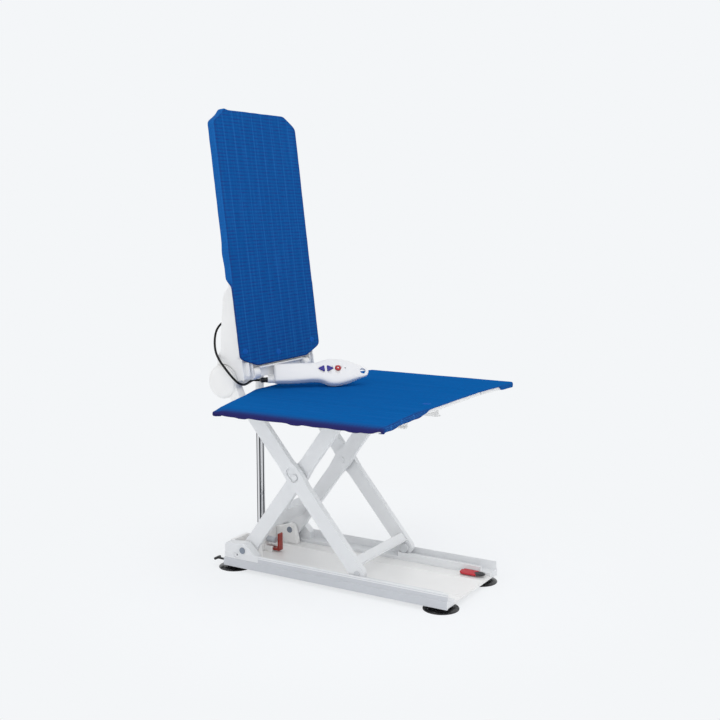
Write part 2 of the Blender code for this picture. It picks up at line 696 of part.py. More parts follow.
def build_arm(body, piece_name, side, line, inner_x, white):
    """One scissor arm: a channel with its open side inwards, bored for its pins."""
    holes = [circle(line.at(along), PIN_R + PIN_PLAY) for along in (0, line.lower, line.length)]
    span = side_span(side, inner_x, inner_x + ARM_THICK)
    arm = body.add(piece_name, prism(arm_outline(line), "x", *span, holes=holes), white)
    depth = side_span(side, inner_x - 0.001, inner_x + ARM_THICK - ARM_WALL)
    for low, high in ((0.022, line.lower - 0.024), (line.lower + 0.024, line.length - 0.022)):
        body.work(arm, prism(arm_pocket(line, low, high), "x", *depth))
    return arm


def build_inner_arms(body, white, nylon):
    """Arms hinged at the base's rear, their cross member and the sliders that run under the seat."""
    for name, side in SIDES.items():
        build_arm(body, f"inner_arm_{name}", side, INNER, INNER_ARM_X, white)
        body.add(f"seat_slider_{name}", roller(side, INNER_ARM_X, SLIDER_R, SEAT_SLIDER), nylon)
    half = INNER_ARM_X - GAP
    end = MEMBER_START + MEMBER_WIDTH
    low = 0.001
    high = low + SHEET_THICK
    lip = low + MEMBER_LIP
    fold = end - SHEET_THICK
    profile = [(MEMBER_START, high), (fold, high), (fold, lip), (end, lip), (end, low), (MEMBER_START, low)]
    outline = [INNER.at(along, across) for along, across in profile]
    body.add("inner_cross_member", prism(outline, "x", -half, half), white)


def build_outer_arms(body, white, steel, nylon):
    """Arms that roll along the base, their cross plate, and the pins of the crossing."""
    near = OUTER_LOWER - RECESS_R
    far = OUTER_LOWER + RECESS_R + RECESS_LENGTH
    bend = RECESS_R * 0.98
    corners = [(near, -RECESS_R, bend), (far, -RECESS_R, bend), (far, RECESS_R, bend), (near, RECESS_R, bend)]
    recess = [OUTER.at(along, across) for along, across in rounded(corners, 5)]
    for name, side in SIDES.items():
        arm = build_arm(body, f"outer_arm_{name}", side, OUTER, OUTER_ARM_X, white)
        outer = OUTER_ARM_OUT - RECESS_DEPTH
        body.work(arm, prism(recess, "x", *side_span(side, outer, OUTER_ARM_OUT + 0.002)))
        reach = side_span(side, INNER_ARM_X - GAP, outer + GAP)
        body.add(f"crossing_pin_{name}", pin(reach, CROSSING, PIN_R), steel)
        body.add(f"base_roller_{name}", roller(side, OUTER_ARM_X, ROLLER_R, BASE_ROLLER), nylon)
    half = OUTER_ARM_X - GAP
    end = PLATE_START + PLATE_WIDTH
    low = PLATE_ACROSS
    high = low + SHEET_THICK
    profile = [(PLATE_START, low), (end, low), (end, high), (PLATE_START + SHEET_THICK, high),
               (PLATE_START + SHEET_THICK, low + PLATE_LIP), (PLATE_START, low + PLATE_LIP)]
    outline = [OUTER.at(along, across) for along, across in profile]
    body.add("outer_cross_plate", prism(outline, "x", -half, half), white)


# Seat

def seat_outline():
    """Plan of the middle seat board: square front, rear corners cut back towards the flaps."""
    edge = SEAT_HINGE_X - HINGE_ROD_R - 0.0008
    return [(-edge, SEAT_FRONT_Y), (edge, SEAT_FRONT_Y), (edge, FLAP_REAR_INNER_Y + 0.001),
            (SEAT_REAR_HALF, SEAT_REAR_Y), (-SEAT_REAR_HALF, SEAT_REAR_Y), (-edge, FLAP_REAR_INNER_Y + 0.001)]


def flap_outline(side):
    """Plan of a flap: its rear edge runs forward to the tip, its front edge reaches past the seat."""
    edge = SEAT_HINGE_X + HINGE_ROD_R + 0.0008
    corners = [(edge, SEAT_FRONT_Y, 0), (FLAP_OUTER_X, FLAP_FRONT_Y, 0.012),
               (FLAP_OUTER_X, FLAP_REAR_Y, 0.005), (edge, FLAP_REAR_INNER_Y, 0)]
    return mirrored(rounded(corners), side)


def slid(outline, edge, target):
    """The outline with the corners that lie near an edge's x slid along their other side to a target x."""
    points = []
    count = len(outline)
    for i, (u, v) in enumerate(outline):
        if abs(u - edge) > 0.009:
            points.append((u, v))
            continue
        before = outline[i - 1]
        after = outline[(i + 1) % count]
        far = before if abs(before[0] - edge) > abs(after[0] - edge) else after
        slope = (far[1] - v) / (far[0] - u)
        points.append((target, v + slope * (target - u)))
    return points


def cover_solid(outline, hinge_edges):
    """A fabric cap over a board: a top, and hems down the free sides; open along the hinge edges."""
    cap = grown(outline, COVER_THICK + GAP)
    hollow = grown(outline, GAP)
    low = SEAT_TOP - COVER_HEM
    for stop, edge in hinge_edges:
        cap = slid(cap, edge, stop)
        hollow = slid(hollow, edge, 2 * edge - stop)
    solid = soften_rim(prism(cap, "z", low, SEAT_TOP), "z", SEAT_TOP, 0.0028)
    return solid, prism(hollow, "z", low - 0.005, BOARD_TOP + GAP)


def build_seat(seat, white, steel, fabric):
    """Seat board with its slider rails, rear brackets, flap hinge rods and cover."""
    outline = seat_outline()
    seat.add("seat_board", prism(outline, "z", SEAT_UNDER, BOARD_TOP), white)
    edge = SEAT_HINGE_X - COVER_SETBACK
    board_edge = SEAT_HINGE_X - HINGE_ROD_R - 0.0008
    solid, hollow = cover_solid(outline, [(edge, board_edge), (-edge, -board_edge)])
    cover = seat.add("seat_cover", solid, fabric)
    seat.work(cover, hollow)
    for name, side in SIDES.items():
        near = SEAT_FRONT_Y + 0.004
        far = FLAP_REAR_INNER_Y - 0.004
        rod = turned([(0, near), (HINGE_ROD_R, near), (HINGE_ROD_R, far), (0, far)], (0, 1, 0),
                     (side * SEAT_HINGE_X, 0, BOARD_TOP), 12)
        seat.add(f"flap_hinge_rod_{name}", rod, steel)
        build_seat_rail(seat, name, side, white)
        build_rear_bracket(seat, name, side, white, steel)


def build_seat_rail(seat, name, side, white):
    """Channel under the seat board, open outwards, in which a slider runs."""
    top = SEAT_UNDER - GAP
    ceiling = SEAT_SLIDER[1] + SLIDER_R + GAP + TRACK_RISE
    floor = SEAT_SLIDER[1] - SLIDER_R - GAP
    low = floor - TRACK_WALL
    outer = INNER_ARM_X - 0.0012
    section = [(TRACK_WEB_X, low), (outer, low), (outer, floor), (TRACK_WEB_X + TRACK_WALL, floor),
               (TRACK_WEB_X + TRACK_WALL, ceiling), (outer, ceiling), (outer, top), (TRACK_WEB_X, top)]
    front = SLIDER_LOW_Y - SLIDER_R - 0.005
    rear = SEAT_SLIDER[0] + SLIDER_R + 0.012
    seat.add(f"seat_rail_{name}", prism(mirrored(section, side), "y", front, rear), white)


def build_rear_bracket(seat, name, side, white, steel):
    """Bracket under the seat's rear: it holds an outer arm's upper pin and rises to the backrest's hub."""
    hub = (HUB_Y, HUB_Z)
    top = SEAT_UNDER - GAP
    outline = [(BRACKET_FRONT_Y, top), (BRACKET_FRONT_Y, top - 0.010),
               *arc(SEAT_PIVOT, BRACKET_BOSS, 200, 315, 8),
               (SEAT_PIVOT[0] + 0.026, top - 0.020), *arc(hub, HUB_R, 238, 555, 24),
               (max(SEAT_REAR_Y, SEAT_PIVOT[0]), top)]
    holes = [circle(hub, HINGE_PIN_R + PIN_PLAY)]
    span = side_span(side, BRACKET_X, HUB_OUTER_X)
    bracket = seat.add(f"rear_bracket_{name}", prism(outline, "x", *span, holes=holes), white)
    reach = side_span(side, OUTER_ARM_X - GAP, HUB_OUTER_X - GAP)
    seat.work(bracket, pin(reach, SEAT_PIVOT, PIN_R), "UNION")
    face = HUB_OUTER_X + GAP
    rim = HUB_R - 0.002
    cap = [(0, HINGE_PIN_INNER_X), (HINGE_PIN_R, HINGE_PIN_INNER_X), (HINGE_PIN_R, face), (rim, face),
           (rim, face + HUB_CAP * 0.4), (rim - 0.002, face + HUB_CAP * 0.75), (rim - 0.006, face + HUB_CAP),
           (0, face + HUB_CAP)]
    seat.add(f"hub_pin_{name}", turned(cap, (side, 0, 0), (0, *hub), 32), white)


def build_flap(flap, name, side, white, fabric):
    """Side flap: a board hung on its hinge rod, under a fabric cover."""
    outline = flap_outline(side)
    flap.add(f"flap_board_{name}", prism(outline, "z", SEAT_UNDER, BOARD_TOP), white)
    edge = side * (SEAT_HINGE_X + COVER_SETBACK)
    board_edge = side * (SEAT_HINGE_X + HINGE_ROD_R + 0.0008)
    solid, hollow = cover_solid(outline, [(edge, board_edge)])
    cover = flap.add(f"flap_cover_{name}", solid, fabric)
    flap.work(cover, hollow)


# Backrest

def panel_prism(outline, low, high):
    """A solid on the backrest: an (x, v) outline up the panel, between two depths behind its front face."""
    bm = prism([(u, v) for u, v in outline], "y", low, high)
    bm.transform(PANEL_FRAME)
    return bm


def panel_side_prism(outline, low, high):
    """A solid on the backrest: a (depth, v) side outline, between two x values."""
    bm = prism(outline, "x", low, high)
    bm.transform(PANEL_FRAME)
    return bm


def panel_outline():
    """The panel's face: all four corners cut off, wider at the foot."""
    tx, tv = TOP_CHAMFER
    lx, lv = LOW_CHAMFER
    low = COVER_THICK + GAP
    high = BACK_HEIGHT
    half = BACK_HALF
    corners = [(half - lx, low, 0.010), (half, low + lv, 0.010), (half, high - tv, 0.010),
               (half - tx, high, 0.010)]
    return rounded(corners + [(-u, v, r) for u, v, r in reversed(corners)])


def build_backrest(back, white, fabric, grey):
    """Panel, fabric cover, moulded rear shell, drive unit and cord gland."""
    face = panel_outline()
    front = COVER_THICK + GAP
    back.add("backrest_panel", panel_prism(face, front, PANEL_BACK), white)
    cap = prism(grown(face, COVER_THICK + GAP), "y", 0, PANEL_BACK)
    soften_rim(cap, "y", 0, 0.003)
    cap.transform(PANEL_FRAME)
    cover = back.add("backrest_cover", cap, fabric)
    back.work(cover, panel_prism(grown(face, GAP), front - GAP, PANEL_BACK + 0.01))

    hub = (HUB_ON_PANEL.y, HUB_ON_PANEL.z)
    skirt = -SHELL_SKIRT
    profile = [(SHELL_FRONT, SHELL_TOP), (SHELL_FRONT, skirt), (SHELL_FRONT + 0.020, skirt - 0.001),
               *arc(hub, LUG_R, 200, 360, 10), (hub[0] + 0.012, 0.030), (0.0780, 0.050), (0.0720, 0.090),
               (0.0650, 0.125), (0.0540, 0.175), (0.0460, 0.192), (0.0320, SHELL_TOP - 0.002)]
    shell = back.add("backrest_shell", panel_side_prism(profile, -SHELL_HALF, SHELL_HALF), white)
    clear = HUB_R + HUB_PLAY
    for side in SIDES.values():
        drum = prism(circle(hub, clear, 32), "x", *side_span(side, LUG_OUTER_X, SHELL_HALF + 0.02))
        drum.transform(PANEL_FRAME)
        back.work(shell, drum)
    channel = block((-CHANNEL_HALF, CHANNEL_DEPTH, -0.15), (CHANNEL_HALF, 0.25, SHELL_TOP + 0.05))
    channel.transform(PANEL_FRAME)
    back.work(shell, channel)
    back.work(shell, bore((HUB_Y, HUB_Z), HINGE_PIN_R + PIN_PLAY, (-0.2, 0.2)))

    seat = CHANNEL_DEPTH + GAP
    plan = [(-DRIVE_HALF, seat), (DRIVE_HALF, seat), (DRIVE_HALF, DRIVE_BACK - 0.010),
            (DRIVE_HALF - 0.010, DRIVE_BACK), (DRIVE_SLOT, DRIVE_BACK), (DRIVE_SLOT, seat + 0.015),
            (-DRIVE_SLOT, seat + 0.015), (-DRIVE_SLOT, DRIVE_BACK), (-DRIVE_HALF + 0.010, DRIVE_BACK),
            (-DRIVE_HALF, DRIVE_BACK - 0.010)]
    unit = prism(plan, "z", -DRIVE_LOW, DRIVE_TOP)
    unit.transform(PANEL_FRAME)
    back.add("drive_unit", unit, grey)

    place = Vector((-GLAND_X, 0.0, GLAND_V))
    sink = 0.058
    socket = turned([(0, sink), (GLAND_R + GAP, sink), (GLAND_R + GAP, 0.2), (0, 0.2)], (0, 1, 0), place, 16)
    socket.transform(PANEL_FRAME)
    back.work(shell, socket)
    start = sink + GAP
    end = start + GLAND_LENGTH
    body = [(0, start), (GLAND_R, start), (GLAND_R, start + 0.011), (GLAND_R * 0.62, end), (0, end)]
    gland = turned(body, (0, 1, 0), place, 16)
    gland.transform(PANEL_FRAME)
    back.add("cord_gland", gland, grey)


# Handset

def handset_frame():
    """Matrix from handset coordinates (along, up the face, out of the face), before it is set down."""
    tail = Vector((*HANDSET_TAIL, 0))
    along = (Vector((*HANDSET_TIP, 0)) - tail).normalized()
    tilt = math.radians(HANDSET_TILT_DEG)
    level = Vector((along.y, -along.x, 0))
    out = level * math.cos(tilt) + Vector((0, 0, 1)) * math.sin(tilt)
    up = out.cross(along)
    frame = Matrix((along, up, out)).transposed().to_4x4()
    return Matrix.Translation(tail) @ frame


def handset_stations():
    """(along, lower edge, upper edge, depth behind, depth in front) from tail to tip."""
    length = (Vector(HANDSET_TIP) - Vector(HANDSET_TAIL)).length
    shares = [(0.00, -0.81, 0.85, 0.89, 0.57), (0.03, -0.93, 0.96, 0.95, 0.86),
              (0.20, -0.96, 1.00, 1.00, 1.00), (0.40, -0.89, 0.96, 1.00, 1.00),
              (0.50, -1.04, 1.11, 1.00, 1.00), (0.58, -1.33, 1.26, 1.00, 1.00),
              (0.66, -1.37, 1.26, 1.00, 1.00), (0.76, -1.19, 1.15, 0.89, 1.00),
              (0.86, -0.85, 0.85, 0.68, 0.86), (0.95, -0.52, 0.56, 0.47, 0.64),
              (1.00, -0.36, 0.38, 0.32, 0.43)]
    return [(along * length, low * HANDSET_HALF, high * HANDSET_HALF, behind * HANDSET_BEHIND,
             ahead * HANDSET_FACE) for along, low, high, behind, ahead in shares]


def handset_half(front):
    """One shell of the handset, lofted from tail to tip; the seam is flat."""
    rings = []
    steps = 8
    for along, low, high, behind, ahead in handset_stations():
        middle = (low + high) / 2
        half = (high - low) / 2
        ring = []
        for i in range(steps + 1):
            turn = math.pi * i / steps
            power = 0.45 if front else 0.75
            across = math.copysign(abs(math.cos(turn)) ** power, math.cos(turn))
            depth = math.sin(turn) ** power
            height = GAP / 2 + depth * ahead if front else -GAP / 2 - depth * behind
            ring.append((along, middle + half * across, height))
        rings.append(ring)
    return lofted(rings)


def build_handset(seat, buttons, white, blue, red, black):
    """Handset on the seat: two shells, three buttons, strain relief and plug of its cord."""
    frame = handset_frame()
    rear = handset_half(False)
    rear.transform(frame)
    lift = SEAT_TOP + GAP - min(v.co.z for v in rear.verts)
    drop = Matrix.Translation((0, 0, lift))
    rear.transform(drop)
    frame = drop @ frame
    length = handset_stations()[-1][0]
    loop = length * 0.93
    rear_shell = seat.add("handset_rear_shell", rear, white)
    front = handset_half(True)
    front.transform(frame)
    front_shell = seat.add("handset_front_shell", front, white)
    for shell in (rear_shell, front_shell):
        hole = prism(circle((loop, 0), HANDSET_EYE_R, 20), "z", -0.03, 0.03)
        hole.transform(frame)
        seat.work(shell, hole)
    face = HANDSET_FACE
    floor = face - 0.0035
    places = {"button_down": (0.500, -1), "button_up": (0.585, 1), "button_stop": (0.672, 0)}
    for name, (share, point) in places.items():
        centre = (length * share, BUTTON_UP)
        shape = button_shape(centre, point)
        well = prism(grown(shape, 0.0005), "z", floor, 0.03)
        well.transform(frame)
        seat.work(front_shell, well)
        cap = prism(shape, "z", floor + 0.0015, face + BUTTON_RISE)
        soften_rim(cap, "z", face + BUTTON_RISE, 0.0008)
        cap.transform(frame)
        surface = red if name == "button_stop" else blue
        buttons[name].add(name, cap, surface)
    stub = [(0, -0.004), (STUB_R, -0.004), (STUB_R, 0.004), (CONNECTOR_R + 0.0006, STUB_LENGTH),
            (0, STUB_LENGTH)]
    entry = Vector((0, -STUB_DOWN, -STUB_R - 0.001))
    piece = turned(stub, (-1, 0, 0), entry, 20)
    piece.transform(frame)
    seat.work(rear_shell, piece, "UNION")
    near = STUB_LENGTH + GAP
    far = near + CONNECTOR_LENGTH
    plug = [(0, near), (CONNECTOR_R, near), (CONNECTOR_R, far - 0.004), (CORD_R + 0.0008, far), (0, far)]
    piece = turned(plug, (-1, 0, 0), entry, 16)
    piece.transform(frame)
    seat.add("cord_connector", piece, black)
    return frame @ (entry + Vector((-far - 2 * GAP, 0, 0))), frame.to_3x3() @ Vector((-1, 0, 0))


def button_shape(centre, point):
    """A round button, or a triangle that points along the handset."""
    u, v = centre
    if point == 0:
        return circle(centre, BUTTON_R, 24)
    reach = BUTTON_R * 1.05
    corners = [(u + point * reach, v, 0.0016), (u - point * reach * 0.75, v + reach, 0.0016),
               (u - point * reach * 0.75, v - reach, 0.0016)]
    return rounded(corners)


# Cord

def smooth_route(points, step):
    """Points about a step apart along a smooth curve through the route's own points."""
    path = [2 * points[0] - points[1], *points, 2 * points[-1] - points[-2]]
    dense = []
    for a, b, c, d in zip(path, path[1:], path[2:], path[3:]):
        for i in range(24):
            t = i / 24
            dense.append(0.5 * (2 * b + (c - a) * t + (2 * a - 5 * b + 4 * c - d) * t * t
                                + (3 * b - a - 3 * c + d) * t ** 3))
    dense.append(points[-1])
    total = sum((b - a).length for a, b in zip(dense, dense[1:]))
    count = round(total / step)
    spaced = [dense[0]]
    run = 0.0
    for a, b in zip(dense, dense[1:]):
        run += (b - a).length
        if run >= total * len(spaced) / count and len(spaced) < count:
            spaced.append(b)
    spaced.append(dense[-1])
    return spaced


def build_cord(seat, plug_end, plug_way, rubber):
    """Handset cord: out of the shell's gland, down past the hub and forward to the plug."""
    gland_tip = PANEL_FRAME @ Vector((-GLAND_X, 0.058 + 3 * GAP + GLAND_LENGTH, GLAND_V))
    gland_way = PANEL_FRAME.to_3x3() @ Vector((0, 1, 0))
    between = [(0.0030, 0.3880, 0.6370), (0.0090, 0.3950, 0.6240), (0.0180, 0.3940, 0.6090),
               (0.0320, 0.3850, 0.5900), (0.0480, 0.3690, 0.5710), (0.0610, 0.3480, 0.5540),
               (0.0680, 0.3260, 0.5365), (0.0685, 0.3065, 0.5180), (0.0590, 0.2940, 0.5015),
               (0.0380, 0.2930, 0.4930), (0.0130, 0.2995, 0.4915), (-0.0070, 0.3070, 0.4925)]
    route = [gland_tip, gland_tip + gland_way * 0.008, gland_tip + gland_way * 0.016,
             *[Vector((-GLAND_X - out, y, z)) for out, y, z in between],
             plug_end + plug_way * 0.018, plug_end + plug_way * 0.009, plug_end]
    points = smooth_route(route, 0.0085)
    curve = bpy.data.curves.new("hand_cord", "CURVE")
    curve.dimensions = "3D"
    curve.bevel_depth = CORD_R
    curve.bevel_resolution = 2
    curve.use_fill_caps = True
    spline = curve.splines.new("POLY")
    spline.points.add(len(points) - 1)
    for knot, place in zip(spline.points, points):
        knot.co = (*(place - seat.place), 1)
    curve.materials.append(rubber)
    cord = bpy.data.objects.new("hand_cord", curve)
    bpy.context.scene.collection.objects.link(cord)
    cord.parent = seat.empty


def main():
    for old in list(bpy.data.objects):
        bpy.data.objects.remove(old, do_unlink=True)
    white = finish("white_moulded_plastic", (0.80, 0.82, 0.84), 0.42)
    paint = finish("white_painted_steel", (0.70, 0.73, 0.77), 0.35)
    fabric = finish("blue_fabric", (0.010, 0.095, 0.36), 0.85)
    rubber = finish("black_rubber", (0.012, 0.012, 0.013), 0.6)
    red = finish("red_plastic", (0.56, 0.012, 0.024), 0.4)
    dark_red = finish("dark_red_plastic", (0.22, 0.010, 0.007), 0.4)
    black = finish("black_plastic", (0.02, 0.02, 0.022), 0.45)
    chrome = finish("chromed_steel", (0.80, 0.80, 0.80), 0.08, 1.0)
    steel = finish("zinc_plated_steel", (0.45, 0.46, 0.50), 0.35, 1.0)
    nylon = finish("grey_nylon", (0.42, 0.43, 0.45), 0.5)
    grey = finish("grey_plastic", (0.30, 0.31, 0.33), 0.5)
    violet = finish("violet_button_plastic", (0.045, 0.025, 0.32), 0.4)

    base = Body("base", (0, 0, 0))
    inner = Body("inner_arms", (0, *BASE_PIVOT), base)
    outer = Body("outer_arms", (0, *CROSSING), inner)
    seat = Body("seat", (0, *SEAT_PIVOT), outer)
    back = Body("backrest", (0, HUB_Y, HUB_Z), seat)
    tube = Body("lift_tube", (0, TUBE_Y, FOOT_PIN_Z), base)
    latch = Body("foot_latch", (0, LATCH_FRONT_Y, FLOOR_SEAT), base)

    build_base(base, white, rubber, steel)
    build_latch(latch, dark_red)
    build_tube(tube, chrome, steel)
    build_inner_arms(inner, paint, nylon)
    build_outer_arms(outer, paint, steel, nylon)
    build_seat(seat, white, steel, fabric)
    build_backrest(back, white, fabric, grey)
    release = Body("front_release", (RELEASE_X, RELEASE_HINGE_Y, FLOOR_SEAT + RELEASE_EYE_R), base)
    build_front_release(release, red)
    for name, side in SIDES.items():
        pull = Body(f"rear_pull_{name}", (side * PULL_X, BASE_REAR_Y, PULL_Z), base)
        build_rear_pull(pull, name, side, black)
        flap = Body(f"flap_{name}", (side * SEAT_HINGE_X, 0, BOARD_TOP), seat)
        build_flap(flap, name, side, white, fabric)
    names = ("button_down", "button_up", "button_stop")
    buttons = {name: Body(name, (0, 0, SEAT_TOP), seat) for name in names}
    plug_end, plug_way = build_handset(seat, buttons, white, violet, red, black)
    build_cord(seat, plug_end, plug_way, rubber)


main()
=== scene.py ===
"""Bath lift: covers, cord, handset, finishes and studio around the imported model."""
import json
import math

import bmesh
import bpy
from bpy.props import FloatProperty, FloatVectorProperty, PointerProperty
from mathutils import Matrix, Vector, geometry, noise

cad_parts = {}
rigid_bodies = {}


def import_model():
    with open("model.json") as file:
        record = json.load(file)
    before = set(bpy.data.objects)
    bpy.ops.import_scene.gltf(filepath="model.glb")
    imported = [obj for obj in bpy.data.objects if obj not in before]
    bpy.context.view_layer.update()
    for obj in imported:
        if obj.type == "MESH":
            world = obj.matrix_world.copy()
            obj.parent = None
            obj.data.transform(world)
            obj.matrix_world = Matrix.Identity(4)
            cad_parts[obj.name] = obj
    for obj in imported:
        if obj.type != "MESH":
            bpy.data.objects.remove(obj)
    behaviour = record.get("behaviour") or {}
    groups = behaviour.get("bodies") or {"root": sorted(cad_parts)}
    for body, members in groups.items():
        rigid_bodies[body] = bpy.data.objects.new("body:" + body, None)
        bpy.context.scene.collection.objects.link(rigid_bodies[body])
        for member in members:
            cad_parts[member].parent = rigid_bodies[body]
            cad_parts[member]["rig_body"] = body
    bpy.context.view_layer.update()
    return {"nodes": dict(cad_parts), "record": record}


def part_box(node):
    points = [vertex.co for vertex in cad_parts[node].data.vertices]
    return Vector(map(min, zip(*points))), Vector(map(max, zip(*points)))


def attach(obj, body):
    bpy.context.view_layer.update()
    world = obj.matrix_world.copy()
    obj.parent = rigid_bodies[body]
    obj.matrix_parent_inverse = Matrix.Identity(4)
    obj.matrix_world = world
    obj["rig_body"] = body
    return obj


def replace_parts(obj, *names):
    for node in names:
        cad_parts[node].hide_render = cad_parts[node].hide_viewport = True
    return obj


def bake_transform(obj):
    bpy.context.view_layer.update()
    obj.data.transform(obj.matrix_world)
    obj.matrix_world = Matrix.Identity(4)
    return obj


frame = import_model()

bl_info = {
    "name": "Bath lift",
    "version": (1, 0, 0),
    "blender": (4, 5, 0),
    "location": "View3D > Sidebar > Bath lift",
    "description": "Dresses the packed bath lift with its covers, cord, handset, finishes and studio",
    "category": "Object",
}

SLOTS = {part["node"]: part["material_slot"] for part in frame["record"]["subparts"]}
SIDES = {"left": 1, "right": -1}
SEAT_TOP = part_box("seat_cover")[1].z
TUBE_AXIS = sum(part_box("lift_tube"), Vector()) / 2
ORIGIN_Y = 0.05225
LEAN = math.radians(7.2)

# Lays a piece that was made about Z along X.
LYING = Matrix(((0, 0, 1, 0), (0, 1, 0, 0), (-1, 0, 0, 0), (0, 0, 0, 1)))
# From (across, behind the face, up the face) on the backrest to the lift's own frame.
PANEL = Matrix(((1, 0, 0, 0),
                (0, math.cos(LEAN), math.sin(LEAN), 0.2675 - ORIGIN_Y),
                (0, -math.sin(LEAN), math.cos(LEAN), 0.540),
                (0, 0, 0, 1)))
# From (along, up the face, out of the face) on the handset to the lift's own frame.
HANDSET = Matrix(((0.650122, 0.467798, -0.598754, -0.045),
                  (-0.75983, 0.400255, -0.512303, 0.21375),
                  (0, 0.788011, 0.615662, 0.508524),
                  (0, 0, 0, 1)))
HANDSET_LENGTH = 0.246108
# Where the cord leaves the handset; Z runs out of its tail.
TAIL = HANDSET @ Matrix.Translation((0, -0.0115, -0.0075)) @ LYING.inverted()


def linear(hex_colour):
    """Linear RGBA of an sRGB hex colour."""
    parts = [int(hex_colour[i:i + 2], 16) / 255 for i in (1, 3, 5)]
    return (*[c / 12.92 if c <= 0.04045 else ((c + 0.055) / 1.055) ** 2.4 for c in parts], 1.0)


def colour(name, description, hex_colour):
    """A colour setting whose default is an sRGB hex colour."""
    return FloatVectorProperty(name=name, description=description, subtype="COLOR", size=4, min=0, max=1,
                               default=linear(hex_colour))


def length(name, description, metres):
    """A length setting in metres."""
    return FloatProperty(name=name, description=description, default=metres, min=0, unit="LENGTH", precision=4)


# Settings

class CoverSettings(bpy.types.PropertyGroup):
    """The blue fabric covers of the seat, flaps and backrest."""
    rib: length("Rib spacing", "Distance between the woven ribs", 0.0087)
    line: length("Warp line spacing", "Distance between the pale lengthwise threads", 0.0400)
    thickness: length("Cloth thickness", "Thickness of the cover cloth", 0.0024)
    hem: length("Hem depth", "How far a hem hangs below the top of the seat", 0.0165)
    roll: length("Edge roll", "Radius of the soft near edge of the seat", 0.011)
    thread_pitch: length("Stitch pitch", "Distance from stitch to stitch in a hem", 0.0062)
    back: colour("Backrest cloth", "Colour of the ribbed backrest cloth", "#094F93")
    seat: colour("Seat cloth", "Colour of the stretched seat cloth", "#0A5DA4")
    rib_shade: colour("Rib", "Colour in the grooves between ribs", "#222C74")
    pale: colour("Pale thread", "Colour of the lengthwise threads and stretched streaks", "#2268B2")
    # Painted shade: this dark violet is mixed into the cloth wherever the hem attribute is above zero, in
    # place of the shade on rolled edges and hems.
    hem_painted_shade: colour("Hem", "Colour of the turned-down hem", "#2C2A60")
    stud: colour("Stud", "Colour of the studs' cloth", "#114F98")
    stitch: colour("Stitch", "Colour of the hem's stitches", "#2E76BE")


class FrameSettings(bpy.types.PropertyGroup):
    """Edges and colours of the rigid parts."""
    moulded_edge: length("Moulded edge", "Radius on the edges of moulded parts", 0.0018)
    metal_edge: length("Metal edge", "Radius on the edges of coated metal parts", 0.0014)
    white: colour("White plastic", "Colour of the moulded parts", "#F2F2F1")
    coat: colour("White coat", "Colour of the coated arms and rails", "#E6E8EA")
    silver: colour("Rail side", "Colour of the rails' anodised outer sides", "#CBCED3")
    grey: colour("Grey plastic", "Colour of the drive and cord entry", "#B9BDC3")
    nylon: colour("Nylon", "Colour of rollers and sliders", "#C9CCCF")
    red: colour("Red plastic", "Colour of the front release", "#BE1B2B")
    dark_red: colour("Dark red plastic", "Colour of the pull latch", "#8E2618")
    black: colour("Black plastic", "Colour of pulls and plugs", "#1B1C1F")
    rubber: colour("Rubber", "Colour of the suction feet", "#0B0B0D")
    chrome: colour("Chrome", "Colour of the lift tube", "#E2E2E4")
    # Painted reflection: the tube's dark streaks stand in for dark surroundings mirrored in the chrome.
    chrome_painted_reflection: colour("Chrome streak", "Colour of the dark streaks along the lift tube", "#3C3E43")
    zinc: colour("Zinc", "Colour of the plated pins", "#8D95A1")


class HandsetSettings(bpy.types.PropertyGroup):
    """Colours on the handset and size of its cord."""
    arrow: colour("Arrow buttons", "Colour of the two arrow buttons", "#241A7C")
    stop: colour("Stop button", "Colour of the round stop button", "#A0161F")
    lamp: colour("Lamp", "Colour of the small charge lamp", "#3A3F48")
    cord_diameter: length("Cord diameter", "Diameter of the handset's cord", 0.0058)
    cord: colour("Cord", "Colour of the cord's sheath", "#0C0C0E")


class StageSettings(bpy.types.PropertyGroup):
    """Camera, light and floor."""
    camera: FloatVectorProperty(name="Camera place", description="Where the camera stands", unit="LENGTH",
                                default=(-2.3295, -1.39585, 0.9369))
    look: FloatVectorProperty(name="Camera direction", description="The way the camera looks",
                              subtype="DIRECTION", default=(0.8522, 0.5045, -0.1390))
    lens: FloatProperty(name="Lens", description="Focal length on a 36 mm sensor", default=54.66, min=1,
                        unit="CAMERA")
    paper: colour("Background", "Colour of the floor and backdrop", "#F4F6F8")
    room: colour("Room", "Colour of the even room light", "#FAFAFB")
    sky: FloatProperty(name="Room light", description="Strength of the even room light", default=0.97, min=0)
    key: FloatProperty(name="Key light", description="Power of the large lamp above", default=12, min=0,
                       unit="POWER")
    fill: FloatProperty(name="Fill light", description="Power of the lamp in front", default=11, min=0,
                        unit="POWER")


class BathLiftSettings(bpy.types.PropertyGroup):
    """All settings of the bath lift."""
    cover: PointerProperty(type=CoverSettings)
    frame: PointerProperty(type=FrameSettings)
    handset: PointerProperty(type=HandsetSettings)
    stage: PointerProperty(type=StageSettings)


def settings():
    """The bath lift settings of the scene."""
    return bpy.context.scene.bath_lift


# Finishes

def set_sockets(tree, node, sockets):
    """Gives a node's inputs fixed values or the outputs that are linked to them."""
    for name, value in sockets.items():
        if isinstance(value, bpy.types.NodeSocket):
            tree.links.new(value, node.inputs[name])
        else:
            node.inputs[name].default_value = value


def add_node(tree, kind, sockets=None, result=0, **values):
    """Adds a node with its values and inputs and returns the output that is asked for."""
    node = tree.nodes.new(kind)
    for name, value in values.items():
        setattr(node, name, value)
    set_sockets(tree, node, sockets or {})
    return node.outputs[result] if node.outputs else None


def new_surface(name):
    """A material, its node tree and its shader."""
    material = bpy.data.materials.new(name)
    material.use_nodes = True
    return material, material.node_tree, material.node_tree.nodes["Principled BSDF"]


def shifted(tone, factor, lift=0.0):
    """A colour that is scaled and raised."""
    return (*[part * factor + lift for part in tone[:3]], 1)


